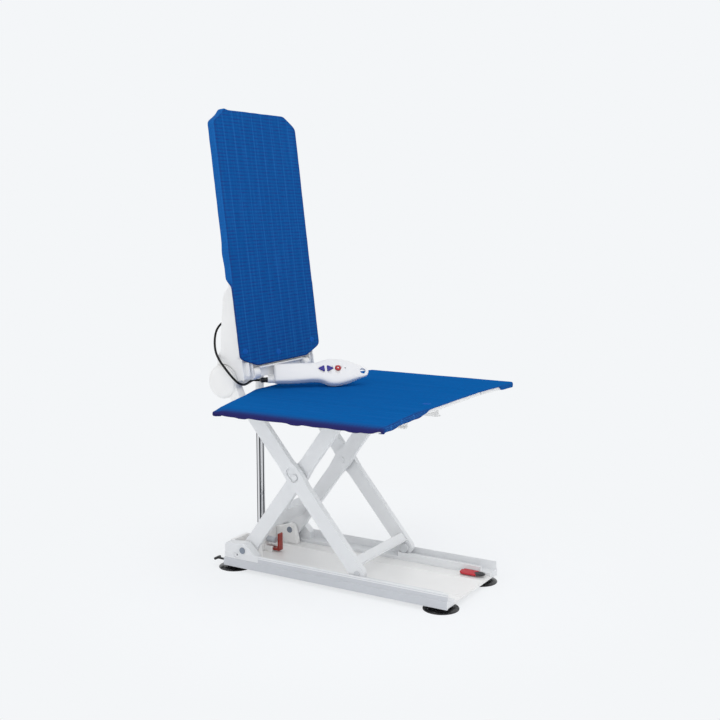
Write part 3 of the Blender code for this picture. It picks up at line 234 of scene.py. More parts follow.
def skin(name, tone, aged, rough, patch, grain, fixed):
    """A surface whose tone and gloss change in soft patches, under a fine grain.

    rough is the least and the greatest roughness, patch the patches' size and detail, and grain the
    grain's size, detail, strength and height.
    """
    material, tree, shader = new_surface(name)
    place = add_node(tree, "ShaderNodeTexCoord", result="Object")
    patches, fine = [
        add_node(tree, "ShaderNodeTexNoise", {"Vector": place, "Scale": 1 / size, "Detail": detail})
        for size, detail in (patch, grain[:2])]
    gloss = add_node(tree, "ShaderNodeMapRange", {"Value": patches, "From Min": 0.3, "From Max": 0.7,
                                                  "To Min": rough[0], "To Max": rough[1]})
    tint = add_node(tree, "ShaderNodeMix", {0: patches, 6: tone, 7: aged}, 2, data_type="RGBA")
    bump = add_node(tree, "ShaderNodeBump", {"Height": fine, "Strength": grain[2], "Distance": grain[3]})
    set_sockets(tree, shader, {"Base Color": tint, "Roughness": gloss, "Normal": bump, **fixed})
    return material


def moulded_plastic(name, tone, rough):
    """ABS from a finely eroded mould: an even satin skin, a faint grain, slightly uneven gloss."""
    # Flow marks some 70 mm across; the real grain of 0.2 mm is drawn at 1.1 mm, the finest that shows.
    return skin(name, tone, shifted(tone, 0.94), (rough - 0.05, rough + 0.06), (0.070, 3.0),
                (0.0011, 2.0, 0.10, 0.0003), {"IOR": 1.53})


def powder_coat(name, tone, rough):
    """Powder coat on steel or aluminium: thicker gloss with the soft ripple of melted powder."""
    # Uneven build-up over about 45 mm, and an orange-peel ripple of 2.4 mm from crest to crest.
    return skin(name, tone, shifted(tone, 0.93), (rough - 0.06, rough + 0.06), (0.045, 2.0),
                (0.0024, 1.0, 0.12, 0.0004), {"IOR": 1.50, "Coat Weight": 0.25, "Coat Roughness": 0.18})


def rubber(name, tone, rough, shine=0.5):
    """Rubber, soft PVC, silicone or thick thread: a waxy gloss that dust dulls in patches."""
    # Patches of bloom about 18 mm across, and the mould's texture drawn at 0.9 mm so that it shows.
    return skin(name, tone, shifted(tone, 1.5, 0.002), (rough - 0.06, rough + 0.12), (0.018, 4.0),
                (0.0009, 1.0, 0.08, 0.0002), {"IOR": 1.52, "Specular IOR Level": shine})


def plated_metal(name, tone, rough, along, shade=None):
    """Drawn and plated steel: a mirror-like skin with fine drawing lines along its length."""
    material, tree, shader = new_surface(name)
    place = add_node(tree, "ShaderNodeTexCoord", result="Object")
    if shade:
        # Seven dark streaks of painted reflection run along the upright tube, about 10 mm from one to the
        # next; they stand in for the dark surroundings that the chrome mirrors.
        around = add_node(tree, "ShaderNodeVectorMath", {0: place, 1: TUBE_AXIS}, operation="SUBTRACT")
        across = add_node(tree, "ShaderNodeSeparateXYZ", {0: around})
        turn = add_node(tree, "ShaderNodeMath", {0: across.node.outputs["Y"], 1: across}, operation="ARCTAN2")
        turn = add_node(tree, "ShaderNodeMath", {0: turn, 1: 7.0}, operation="MULTIPLY")
        wave = add_node(tree, "ShaderNodeMath", {0: turn}, operation="COSINE")
        painted_reflection = add_node(tree, "ShaderNodeMapRange", {"Value": wave, "From Min": -0.25, "From Max": 0.65})
        tone = add_node(tree, "ShaderNodeMix", {0: painted_reflection, 6: tone, 7: shade}, 2, data_type="RGBA")
    # Drawing lines 0.8 mm apart that run on for 120 mm.
    scale = [1 / 0.120 if axis == along else 1 / 0.0008 for axis in "xyz"]
    lines = add_node(tree, "ShaderNodeMapping", {"Vector": place, "Scale": scale})
    drawn = add_node(tree, "ShaderNodeTexNoise", {"Vector": lines, "Scale": 1.0, "Detail": 2.0})
    # Finger marks and cloudiness over 25 mm.
    cloud = add_node(tree, "ShaderNodeTexNoise", {"Vector": place, "Scale": 1 / 0.025, "Detail": 3.0})
    gloss = add_node(tree, "ShaderNodeMapRange", {"Value": cloud, "From Min": 0.3, "From Max": 0.7,
                                                  "To Min": rough * 0.75, "To Max": rough * 1.35})
    bump = add_node(tree, "ShaderNodeBump", {"Height": drawn, "Strength": 0.05, "Distance": 0.0001})
    set_sockets(tree, shader, {"Base Color": tone, "Metallic": 1.0, "Roughness": gloss, "Normal": bump})
    return material


def ribbed_polyester(name, face, rib_depth, lines_share, gloss):
    """Woven polyester: rows of short ribs with dark grooves, pale warp lines, a soft sheen on folds."""
    cover = settings().cover
    material, tree, shader = new_surface(name)
    flat = add_node(tree, "ShaderNodeUVMap", uv_map="cloth")
    # A wave's period is a tenth of pi over its scale.
    ribs, warp = [add_node(tree, "ShaderNodeTexWave",
                           {"Vector": flat, "Scale": math.pi / 10 / spacing, "Distortion": bend,
                            "Detail": detail, "Detail Scale": detail_scale},
                           "Fac", bands_direction=way, wave_profile="SIN")
                  for way, spacing, bend, detail, detail_scale in (("Y", cover.rib, 0.6, 2.0, 1.4),
                                                                   ("X", cover.line, 0.25, 1.0, 0.6))]
    fields = []
    # The ribs swell and fade over about 36 mm. Faded streaks, 9 mm wide and 160 mm long, show where the
    # cloth is pulled tight. The real thread of 0.4 mm is too fine to show, so it is drawn at 1.6 mm.
    for wide, long, detail in ((0.036, cover.rib, 1.0), (0.009, 0.160, 2.0), (0.0016, 0.0016, 1.0)):
        grid = add_node(tree, "ShaderNodeMapping", {"Vector": flat, "Scale": (1 / wide, 1 / long, 1)})
        fields.append(add_node(tree, "ShaderNodeTexNoise", {"Vector": grid, "Scale": 1.0, "Detail": detail},
                               noise_dimensions="2D"))
    dashes, streaks, weave = fields
    groove, broken, pale, faded, speck, rough = [
        add_node(tree, "ShaderNodeMapRange", {"Value": source, "From Min": low, "From Max": high,
                                              "To Min": least, "To Max": most})
        for source, low, high, least, most in ((ribs, 0.50, 0.12, 0.0, 1.0), (dashes, 0.40, 0.62, 0.40, 1.0),
                                               (warp, 0.955, 1.0, 0.0, lines_share),
                                               (streaks, 0.45, 0.80, 0.0, 0.30),
                                               (weave, 0.45, 0.75, 0.0, 0.22), (ribs, 0.0, 1.0, 0.86, 0.68))]
    dark = add_node(tree, "ShaderNodeMath", {0: groove, 1: broken}, operation="MULTIPLY")
    dark = add_node(tree, "ShaderNodeMath", {0: dark, 1: 0.80 * rib_depth}, operation="MULTIPLY")
    hem = add_node(tree, "ShaderNodeAttribute", result="Fac", attribute_name="hem")
    # The attribute carries painted shade towards the hem's dark violet; it runs below zero on the backrest's
    # wrapped sides, which are painted paler as painted light.
    painted_light = add_node(tree, "ShaderNodeMath", {0: hem, 1: -1.0}, operation="MULTIPLY")
    tone = face
    for share, shade in ((faded, cover.pale), (dark, cover.rib_shade), (pale, cover.pale), (speck, cover.pale),
                         (hem, cover.hem_painted_shade), (painted_light, cover.pale)):
        tone = add_node(tree, "ShaderNodeMix", {0: share, 6: tone, 7: shade}, 2, data_type="RGBA")
    bump = add_node(tree, "ShaderNodeBump", {"Height": ribs, "Strength": 0.35 * rib_depth + 0.05,
                                             "Distance": 0.0008})
    bump = add_node(tree, "ShaderNodeBump", {"Height": weave, "Strength": 0.18, "Distance": 0.0005,
                                             "Normal": bump})
    set_sockets(tree, shader, {"Base Color": tone, "Roughness": rough, "Normal": bump, "IOR": 1.25,
                               "Specular IOR Level": gloss, "Sheen Weight": 0.2 * gloss,
                               "Sheen Roughness": 0.45, "Sheen Tint": linear("#5FA0DC")})
    return material


def finish(name):
    """The named material of the lift, made when it is first asked for."""
    made = bpy.data.materials.get(name)
    if made:
        return made
    tones, handset, cover = settings().frame, settings().handset, settings().cover
    makers = {
        "white ABS, moulded": (moulded_plastic, tones.white, 0.36),
        "white steel, powder coated": (powder_coat, tones.coat, 0.34),
        "white aluminium rail, powder coated": (powder_coat, tones.coat, 0.40),
        "silver aluminium, anodised": (powder_coat, tones.silver, 0.36),
        "grey ABS, moulded": (moulded_plastic, tones.grey, 0.46),
        "natural nylon, moulded": (moulded_plastic, tones.nylon, 0.42),
        "red ABS, moulded": (moulded_plastic, tones.red, 0.34),
        "dark red ABS, moulded": (moulded_plastic, tones.dark_red, 0.36),
        "black ABS, moulded": (moulded_plastic, tones.black, 0.45),
        "smoked lens, moulded": (moulded_plastic, handset.lamp, 0.15),
        "black EPDM rubber, moulded": (rubber, tones.rubber, 0.22),
        "black PVC sheath, extruded": (rubber, handset.cord, 0.42, 0.2),
        "violet silicone, moulded": (rubber, handset.arrow, 0.40),
        "red silicone, moulded": (rubber, handset.stop, 0.36),
        "pale blue polyester thread": (rubber, cover.stitch, 0.80, 0.1),
        "blue polyester thread": (rubber, cover.stud, 0.80, 0.05),
        "chromed steel tube, drawn": (plated_metal, tones.chrome, 0.12, "z", tones.chrome_painted_reflection),
        "zinc plated steel, turned": (plated_metal, tones.zinc, 0.34, "x"),
        "blue polyester, ribbed weave": (ribbed_polyester, cover.back, 0.68, 0.36, 0.08),
        "blue polyester, stretched": (ribbed_polyester, cover.seat, 0.34, 0.12, 0.0),
    }
    make, *values = makers[name]
    return make(name, *values)


SLOT_FINISH = {
    "white_moulded_plastic": "white ABS, moulded",
    "white_painted_steel": "white steel, powder coated",
    "black_rubber": "black EPDM rubber, moulded",
    "red_plastic": "red ABS, moulded",
    "dark_red_plastic": "dark red ABS, moulded",
    "black_plastic": "black ABS, moulded",
    "chromed_steel": "chromed steel tube, drawn",
    "zinc_plated_steel": "zinc plated steel, turned",
    "grey_nylon": "natural nylon, moulded",
    "grey_plastic": "grey ABS, moulded",
    "violet_button_plastic": "violet silicone, moulded",
    "blue_fabric": "blue polyester, ribbed weave",
}


# Modelling

def new_object(name, bm):
    """An object at the origin from a mesh in the lift's own frame."""
    mesh = bpy.data.meshes.new(name)
    bm.to_mesh(mesh)
    bm.free()
    obj = bpy.data.objects.new(name, mesh)
    bpy.context.scene.collection.objects.link(obj)
    return obj


def shade_smooth(mesh, sharp):
    """Shades a mesh smooth up to an angle."""
    mesh.shade_smooth()
    mesh.set_sharp_from_angle(angle=math.radians(sharp))


def piece(name, bm, slot, body=None, surface=None, sharp=35):
    """A finished object with its material, on a body."""
    obj = new_object(name, bm)
    obj.data.materials.append(finish(surface or SLOT_FINISH[slot]))
    shade_smooth(obj.data, sharp)
    if body:
        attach(obj, body)
    return obj


def soft_edges(obj, width, segments=2):
    """Rounds an object's sharp edges."""
    edge = obj.modifiers.new("edges", "BEVEL")
    edge.width = width
    edge.segments = segments
    edge.limit_method = "ANGLE"
    edge.angle_limit = math.radians(32)
    edge.harden_normals = True


def settled(obj):
    """The object with its modifiers worked into its mesh."""
    ready = obj.evaluated_get(bpy.context.evaluated_depsgraph_get())
    mesh = bpy.data.meshes.new_from_object(ready)
    obj.modifiers.clear()
    obj.data = mesh
    return obj


def flat_faces_joined(bm):
    """Joins the faces of a mesh that lie in one plane."""
    bmesh.ops.dissolve_limit(bm, angle_limit=math.radians(0.5), verts=bm.verts, edges=bm.edges)


def cad_copy(node):
    """A merged copy of a CAD node's mesh."""
    bm = bmesh.new()
    bm.from_mesh(frame["nodes"][node].data)
    bmesh.ops.remove_doubles(bm, verts=bm.verts, dist=1e-6)
    flat_faces_joined(bm)
    return bm


def softened(node, width, surface=None, segments=2, bm=None):
    """A copy of a CAD node, or a mesh made from one, with rounded edges that stands for it."""
    obj = piece(f"{node}_shape", bm or cad_copy(node), SLOTS[node], frame["nodes"][node]["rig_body"], surface)
    soft_edges(obj, width, segments)
    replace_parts(obj, node)
    return obj


def coat(node):
    """Gives a CAD node that is shown as it is its finish."""
    mesh = frame["nodes"][node].data
    mesh.materials.clear()
    mesh.materials.append(finish(SLOT_FINISH[SLOTS[node]]))


def placed(bm, matrix):
    """A mesh moved by a matrix."""
    bmesh.ops.transform(bm, matrix=matrix, verts=bm.verts)
    return bm


def sliced(bm, planes, **values):
    """A mesh cut along planes, each a point and a normal."""
    for point, normal in planes:
        bmesh.ops.bisect_plane(bm, geom=[*bm.verts, *bm.edges, *bm.faces], dist=1e-5, plane_co=point,
                               plane_no=normal, **values)
    return bm


def turned(profile, place, steps=48):
    """A round piece: a (radius, height) half profile spun about Z and set in place."""
    bm = bmesh.new()
    verts = [bm.verts.new((radius, 0, height)) for radius, height in profile]
    edges = [bm.edges.new(pair) for pair in zip(verts, verts[1:])]
    bmesh.ops.spin(bm, geom=verts + edges, cent=(0, 0, 0), axis=(0, 0, 1), angle=math.tau, steps=steps,
                   use_merge=True)
    bmesh.ops.remove_doubles(bm, verts=bm.verts, dist=1e-6)
    bmesh.ops.recalc_face_normals(bm, faces=bm.faces)
    return placed(bm, place)


def slab(low, high, edge):
    """A block between two corners with rounded edges."""
    size = Vector(high) - Vector(low)
    place = Matrix.Translation((Vector(low) + Vector(high)) / 2) @ Matrix.Diagonal((*size, 1))
    bm = bmesh.new()
    bmesh.ops.create_cube(bm, size=1, matrix=place)
    bmesh.ops.bevel(bm, geom=bm.edges[:], offset=edge, affect="EDGES", segments=3, profile=0.5, material=-1)
    return bm


def smooth_path(points, steps):
    """A smooth curve through points, a few steps to each."""
    path = [2 * points[0] - points[1], *points, 2 * points[-1] - points[-2]]
    curve = []
    for a, b, c, d in zip(path, path[1:], path[2:], path[3:]):
        curve += geometry.interpolate_bezier(b, b + (c - a) / 6, c - (d - b) / 6, c, steps + 1)[:-1]
    return [*curve, points[-1]]


def ease(low, high, value):
    """0 below low, 1 above high, and a smooth rise between."""
    share = min(max((value - low) / (high - low), 0), 1)
    return share * share * (3 - 2 * share)


def bulge(value, centre, width):
    """A smooth hump of height 1."""
    return math.exp(-((value - centre) / width) ** 2)


def rough_at(*place):
    """Smooth noise from -1 to 1 at a place."""
    return noise.noise(Vector(place))


# Hand cord

CORD_ROUTE = [(-0.1050, 0.30835, 0.64720), (-0.1050, 0.31629, 0.64620), (-0.1050, 0.32422, 0.64519),
              (-0.1080, 0.33575, 0.63700), (-0.1140, 0.34275, 0.62400), (-0.1230, 0.34175, 0.60900),
              (-0.1370, 0.33275, 0.59000), (-0.1530, 0.31675, 0.57100), (-0.1660, 0.29575, 0.55400),
              (-0.1730, 0.27375, 0.53650), (-0.1735, 0.25425, 0.51800), (-0.1640, 0.24175, 0.50150),
              (-0.1430, 0.24075, 0.49300), (-0.1180, 0.24725, 0.49150), (-0.0980, 0.25475, 0.49250),
              (-0.0816, 0.25468, 0.49480), (-0.07575, 0.24784, 0.49480), (-0.0699, 0.24100, 0.49480)]
# The plug: a sleeve with three grooves, PLUG_SET out of the handset's tail.
PLUG = [(0, 0), (0.0064, 0), (0.0070, 0.0008), (0.0070, 0.0040),
        *[(radius, 0.0046 + ring * 0.0030 + rise) for ring in range(3)
          for radius, rise in ((0.0060, 0), (0.0060, 0.0009), (0.0070, 0.0014), (0.0070, 0.0022))],
        (0.0066, 0.0150), (0.0048, 0.0175), (0.0034, 0.0190), (0, 0.0190)]
PLUG_SET = 0.0173


class BATHLIFT_OT_hand_cord(bpy.types.Operator):
    """Black cord from the housing's gland to the handset, with its plug"""
    bl_idname = "bath_lift.hand_cord"
    bl_label = "Hand cord"

    def execute(self, context):
        radius = settings().handset.cord_diameter / 2
        path = smooth_path([Vector(point) for point in CORD_ROUTE], 6)
        line = bpy.data.curves.new("hand_cord_line", "CURVE")
        line.dimensions = "3D"
        line.bevel_depth = radius
        line.bevel_resolution = 4
        line.use_fill_caps = True
        spline = line.splines.new("POLY")
        spline.points.add(len(path) - 1)
        for knot, place in zip(spline.points, path):
            knot.co = (*place, 1)
        sheath = bpy.data.objects.new("hand_cord_line", line)
        mesh = bpy.data.meshes.new_from_object(sheath)
        bm = bmesh.new()
        bm.from_mesh(mesh)
        bmesh.ops.remove_doubles(bm, verts=bm.verts, dist=1e-6)
        bmesh.ops.recalc_face_normals(bm, faces=bm.faces)
        bpy.data.objects.remove(sheath)
        bpy.data.curves.remove(line)
        bpy.data.meshes.remove(mesh)
        cord = piece("hand_cord_sheath", bm, "black_rubber", surface="black PVC sheath, extruded")
        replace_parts(cord, "hand_cord")
        plug = turned(PLUG, TAIL @ Matrix.Translation((0, 0, PLUG_SET)), 32)
        plug = piece("cord_plug", plug, "black_plastic", "seat")
        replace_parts(plug, "cord_connector")
        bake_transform(cord)
        return {"FINISHED"}


# Covers

# A hem's rows: turns of a roll, each with its share of the painted shade on the roll, then wall, foot and
# underside.
HEM_ROLL = ((0, 0), (30, 0.65), (60, 0.95), (90, 1))
HEM_ROWS = 6
HEM_FOOT = 0.0012


def hem_section(row, radius, depth, under):
    """(inset from the rim, drop, share of painted shade) of a row of cloth that rolls over a rim and under a
    board.
    """
    if row < len(HEM_ROLL):
        turn, share = HEM_ROLL[row]
        turn = math.radians(turn)
        return radius * (1 - math.sin(turn)), min(radius, depth) * (1 - math.cos(turn)), share
    if row == len(HEM_ROLL):
        return 0, max(depth - HEM_FOOT, depth * 0.9), 1
    return HEM_FOOT if row < HEM_ROWS else under, depth, 1


def cloth_cap(columns, lines, place):
    """A cloth over a board: a grid whose rim is extruded into hem rows; place sets each point."""
    bm = bmesh.new()
    # The hem layer holds each point's share of painted shade; below zero it is painted light.
    hem = bm.verts.layers.float.new("hem")
    flat = bm.loops.layers.uv.new("cloth")
    bmesh.ops.create_grid(bm, x_segments=columns, y_segments=lines, size=0.5)
    rim = [edge for edge in bm.edges if edge.is_boundary]
    for _ in range(HEM_ROWS):
        grown = bmesh.ops.extrude_edge_only(bm, edges=rim)["geom"]
        fresh = [part for part in grown if isinstance(part, bmesh.types.BMVert)]
        bmesh.ops.translate(bm, verts=fresh, vec=(0, 0, -1))
        rim = [part for part in grown if isinstance(part, bmesh.types.BMEdge) and part.is_boundary]
    bmesh.ops.recalc_face_normals(bm, faces=bm.faces)
    laid = {}
    for vert in bm.verts:
        vert.co, laid[vert], vert[hem] = place(vert.co.x, vert.co.y, round(-vert.co.z))
    for face in bm.faces:
        for loop in face.loops:
            loop[flat].uv = laid[loop.vert]
    return bm


def cloth_piece(name, bm, surface):
    """A cloth with its thickness, worked into its mesh."""
    obj = piece(name, bm, "blue_fabric", surface=surface, sharp=180)
    soft = obj.modifiers.new("soft", "SUBSURF")
    soft.levels = soft.render_levels = 1
    wall = obj.modifiers.new("wall", "SOLIDIFY")
    wall.thickness = settings().cover.thickness
    wall.offset = -1
    return settled(obj)


def at_rim(share, end):
    """Whether a share of the grid is at one end of it."""
    return abs(share - end) < 1e-4


BACK_GRID = (50, 92)
BACK_HALF = 0.1793
BACK_HIGH = 0.6403
BACK_ROLL = 0.0045
# Depth and height of the corners that are cut in at the cover's foot and top.
FOOT_CUT = (0.070, 0.022)
TOP_CUT = (0.052, 0.030)
# Heights between which the cover starts to wrap the panel's sides.
WRAP_START = (0.200, 0.224)


def back_half(height):
    """Half width of the backrest cover at a height: cut in at the foot and at the top."""
    total = 0
    for step in (-0.004, 0, 0, 0.004):
        up = min(max(height + step, 0), BACK_HIGH)
        total += BACK_HALF - max(FOOT_CUT[0] * (1 - up / FOOT_CUT[1]),
                                 TOP_CUT[0] * (up - BACK_HIGH + TOP_CUT[1]) / TOP_CUT[1], 0)
    return total / 4


def back_place(u, v, row):
    """A point of the backrest cover, its flat place and its share of painted shade, which is painted light
    below zero.
    """
    side, top, foot = at_rim(abs(u), 0.5), at_rim(v, 0.5), at_rim(v, -0.5)
    height = (v + 0.5) * BACK_HIGH
    deep = ease(*WRAP_START, height)
    inset, drop, share = hem_section(row, BACK_ROLL, 0.0040 + deep * 0.0155, 0.003 + 0.013 * deep)
    up = min(max(height, BACK_ROLL), BACK_HIGH - BACK_ROLL)
    if foot:
        up = inset
    if top:
        up = BACK_HIGH - inset
    across = 2 * u * (back_half(height) - (inset if side else BACK_ROLL))
    if side and u < 0:
        # The near side sticks out at the top and is drawn in above the housing.
        across += 0.0045 * bulge(height, BACK_HIGH - 0.018, 0.006) - 0.0035 * bulge(height, 0.285, 0.022)
    if top:
        # A tip of cloth stands up at the near corner.
        up += 0.0042 * bulge(across, -0.126, 0.007)
        across -= 0.003 * bulge(across, -0.127, 0.007)
    ripple = rough_at(across * 45, height * 45, 0.3)
    across += math.copysign(0.0007, u) * ripple * side
    up += 0.0008 * ripple * top
    behind = 0.0004 + drop
    if row == 0:
        behind += 0.0006 * rough_at(across * 14, height * 9, 1.7)
        behind += 0.0004 * rough_at(across * 60, height * 18, 4.1)
        behind += 0.0016 * ease(0.2, 0.5, -u) * bulge(height, BACK_HIGH - 0.02, 0.03)
        behind = max(behind, 0)
    laid = (across + math.copysign(drop, u) * side, up + drop * (top - foot))
    # Painted shade and light: where the cover wraps a side it is painted dark along the edge and paler beyond,
    # as light falls there; lower down the rim is painted dark as shade.
    painted_shading = (0.28 if row == 0 else -0.5 * share) * deep
    return PANEL @ Vector((across, behind, up)), laid, painted_shading * side + 0.5 * share * (1 - deep)


class BATHLIFT_OT_backrest_cover(bpy.types.Operator):
    """Blue cover pulled over the backrest panel from above"""
    bl_idname = "bath_lift.backrest_cover"
    bl_label = "Backrest cover"

    def execute(self, context):
        cloth = cloth_cap(*BACK_GRID, back_place)
        cloth = cloth_piece("backrest_cloth", cloth, "blue polyester, ribbed weave")
        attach(cloth, "backrest")
        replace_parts(cloth, "backrest_cover")
        return {"FINISHED"}


SEAM_X = 0.1735
OUTER_X = 0.3623
SEAT_GRID = (96, 66)
SEAM_SHARE = 46 / SEAT_GRID[0]
SEAT_ROLL = 0.0036
HEM_LEAST = 0.0042
# The rear edge: its place as far out as REAR_LEVEL, and how far it comes forward to the seam and the corner.
REAR_LEVEL = 0.0913
REAR_EDGE = (0.2933, 0.0286, 0.0537)
FRONT_EDGE = -0.2133
FRONT_BEND = 0.013
# How far the front hem hangs, as a share of its depth, at places from the near to the far side.
FRONT_HEM = [(-0.370, 0.30), (-0.352, 0.32), (-0.346, 1.05), (-0.338, 0.80), (-0.300, 0.98), (-0.262, 0.74),
             (-0.212, 0.92), (-0.155, 1.00), (-0.126, 0.62), (-0.0955, 0.0), (0.284, 0.0), (0.294, 1.0),
             (0.370, 0.9)]
# Places and half widths of the tabs along the near hem.
NEAR_TABS = [(0.092, 0.012), (-0.059, 0.011), (-0.216, 0.010)]
NEAR_CORNER = (-0.3623, 0.1588)


def seat_front(x):
    """Front edge of the seat cloth at x."""
    reach = abs(x)
    edge = FRONT_EDGE - max(0, reach - SEAM_X) * 0.0927
    corner = max(0, reach - OUTER_X + FRONT_BEND)
    return edge + FRONT_BEND - math.sqrt(max(FRONT_BEND ** 2 - corner ** 2, 0)) - ORIGIN_Y


def seat_rear(x):
    """Rear edge of the seat cloth at x; the near outer corner stays sharp."""
    reach = abs(x)
    level, to_seam, to_corner = REAR_EDGE
    if reach < SEAM_X:
        return level - to_seam * max(0, reach - REAR_LEVEL) / (SEAM_X - REAR_LEVEL) - ORIGIN_Y
    edge = level - to_seam - to_corner * (reach - SEAM_X) / (OUTER_X - SEAM_X)
    bend = 0.006 if x > 0 else 0.001
    corner = max(0, reach - OUTER_X + bend)
    return edge - bend + math.sqrt(max(bend ** 2 - corner ** 2, 0)) - ORIGIN_Y


def seat_skin(x, y):
    """Height of the seat cloth: level, a little slack, and sinking towards the flaps' outer edges."""
    sag = 0.0012 * ease(0.21, 0.36, abs(x))
    slack = 0.0004 * rough_at(x * 11, y * 8, 2.2) + 0.0003 * rough_at(x * 70, y * 7, 5.3)
    return SEAT_TOP - 0.0002 - sag + slack


def front_ripple(x, y):
    """How far the front hem waves out at a place."""
    return 0.0008 * rough_at(x * 40, y * 40, 3.1)


def front_hang(x):
    """Share of its depth that the front hem hangs at x."""
    for (low, a), (high, b) in zip(FRONT_HEM, FRONT_HEM[1:]):
        if x <= high:
            return a + (b - a) * ease(low, high, x)
    return FRONT_HEM[-1][1]


def near_hang(y):
    """Share of its depth that the near hem hangs at y: tabs, a pinched rear tip and a notch in front."""
    hang = 0.86 + 0.10 * rough_at(0.7, y * 26, 0.4)
    for place, half in NEAR_TABS:
        hang += 0.20 * ease(half + 0.004, half, abs(y - place))
    hang *= 0.25 + 0.75 * ease(0.158, 0.140, y)
    return hang * (0.32 + 0.68 * ease(-0.276, -0.262, y))


def seat_place(u, v, row):
    """A point of the seat cloth, its flat place and its share of painted shade."""
    side, front, rear = at_rim(abs(u), 0.5), at_rim(v, -0.5), at_rim(v, 0.5)
    share = abs(u) * 2
    near = ease(0.86, 1.0, -2 * u)
    roll = SEAT_ROLL + (settings().cover.roll - SEAT_ROLL) * near * (1 - 0.75 * ease(0.40, 0.5, v))
    out = (share - SEAM_SHARE) / (1 - SEAM_SHARE)
    reach = SEAM_X * share / SEAM_SHARE
    if out > 0:
        reach = SEAM_X + (OUTER_X - roll - SEAM_X) * (1 - (1 - out) ** 1.4)
    x = math.copysign(reach, u)
    hang = 1.0
    if front:
        hang = front_hang(x if not side else math.copysign(OUTER_X, u))
    elif side and u < 0:
        hang = near_hang(seat_front(-OUTER_X) + (v + 0.5) * (NEAR_CORNER[1] - seat_front(-OUTER_X)))
    wave = rough_at(x * 23, (v + 3) * 9, 0.9) + 0.6 * rough_at(x * 70, (v + 3) * 34, 7.7)
    hem = settings().cover.hem + (0.0008 * wave if side or front else 0) - 0.0018 * (x > 0 or rear)
    depth = HEM_LEAST + hang * (hem - HEM_LEAST)
    inset, drop, painted_shading = hem_section(row, roll, depth, 0.003 + 0.012 * min(hang, 1))
    if side:
        x = math.copysign(OUTER_X - inset, u)
    low = seat_front(x) + (inset if front else roll)
    high = seat_rear(x) - (inset if rear else roll)
    y = low + (high - low) * (v + 0.5)
    ripple = front_ripple(x, y)
    x += 1.25 * ripple * side
    y += ripple * front
    # The near rear corner is drawn out into a tip that points down.
    tip = ease(0.030, 0.0, math.hypot(x - NEAR_CORNER[0], y - NEAR_CORNER[1])) if u < 0 else 0.0
    z = seat_skin(x, y) - drop - 0.0040 * tip
    laid = (x + math.copysign(drop, u) * side, y + drop * (rear - front))
    place = Vector((x - 0.0125 * tip * tip, y + 0.0015 * tip, z))
    # The shade grows towards the near side, where the hem hangs free.
    shown = 1.0 if side else 0.35 * (front and u < 0)
    shadow = painted_shading * (0.25 + 0.75 * max(near, min(hang, 1) * shown))
    # Painted shade also darkens the flat top as it nears the near edge.
    return place, laid, max(shadow, 0.32 * ease(0.82, 1.0, -2 * u))


def bend_at_flap(obj):
    """Works a piece's place into its mesh; the piece is left on no body."""
    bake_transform(obj)


class BATHLIFT_OT_seat_covers(bpy.types.Operator):
    """Blue cloth over the seat and both flaps"""
    bl_idname = "bath_lift.seat_covers"
    bl_label = "Seat covers"

    def execute(self, context):
        surface = "blue polyester, stretched"
        whole = cloth_cap(*SEAT_GRID, seat_place)
        for name, low, high in (("middle", -SEAM_X, SEAM_X), ("left", SEAM_X, 1), ("right", -1, -SEAM_X)):
            ends = ((low, 0, 0), (-1, 0, 0)), ((high, 0, 0), (1, 0, 0))
            part = sliced(whole.copy(), ends, clear_outer=True)
            if name == "middle":
                cloth = cloth_piece("seat_cloth", part, surface)
                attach(cloth, "seat")
                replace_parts(cloth, "seat_cover")
                continue
            cloth = cloth_piece(f"flap_cloth_{name}", part, surface)
            bend_at_flap(cloth)
            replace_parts(cloth, f"flap_cover_{name}")
        whole.free()
        return {"FINISHED"}


STUD = [(0, 0.0013), (0.0030, 0.0012), (0.0056, 0.0009), (0.0072, 0.0003), (0.0077, -0.0005), (0, -0.0005)]
STUD_STRETCH = 1.4
BACK_STUDS = ((-0.158, 0.040), (-0.017, 0.024), (0.144, 0.039))
SEAT_STUD = (-0.06, -0.183 - ORIGIN_Y)


class BATHLIFT_OT_cover_studs(bpy.types.Operator):
    """Domed studs that hold the covers to the boards"""
    bl_idname = "bath_lift.cover_studs"
    bl_label = "Cover studs"

    def execute(self, context):
        facing = Matrix(((1, 0, 0, 0), (0, 0, -1, 0), (0, 1, 0, 0), (0, 0, 0, 1)))
        oval = Matrix.Diagonal((STUD_STRETCH, 1, 1, 1))
        places = [("backrest", f"backrest_stud_{number}",
                   PANEL @ Matrix.Translation((x, 0.0002, v)) @ facing @ oval)
                  for number, (x, v) in enumerate(BACK_STUDS)]
        places.append(("seat", "seat_stud", Matrix.Translation((*SEAT_STUD, seat_skin(*SEAT_STUD)))
                       @ Matrix.Diagonal((STUD_STRETCH, STUD_STRETCH, 1, 1))))
        for body, name, place in places:
            piece(name, turned(STUD, place, 32), "blue_fabric", body, "blue polyester thread")
        return {"FINISHED"}


# Start and length of the front hem's stitching, the drops of its rows and the places of its bar tacks.
STITCHED = (-0.340, 0.215)
STITCH_ROWS = (0.0040, 0.0070, 0.0100)
TACKS = (-0.312, -0.253, -0.185)


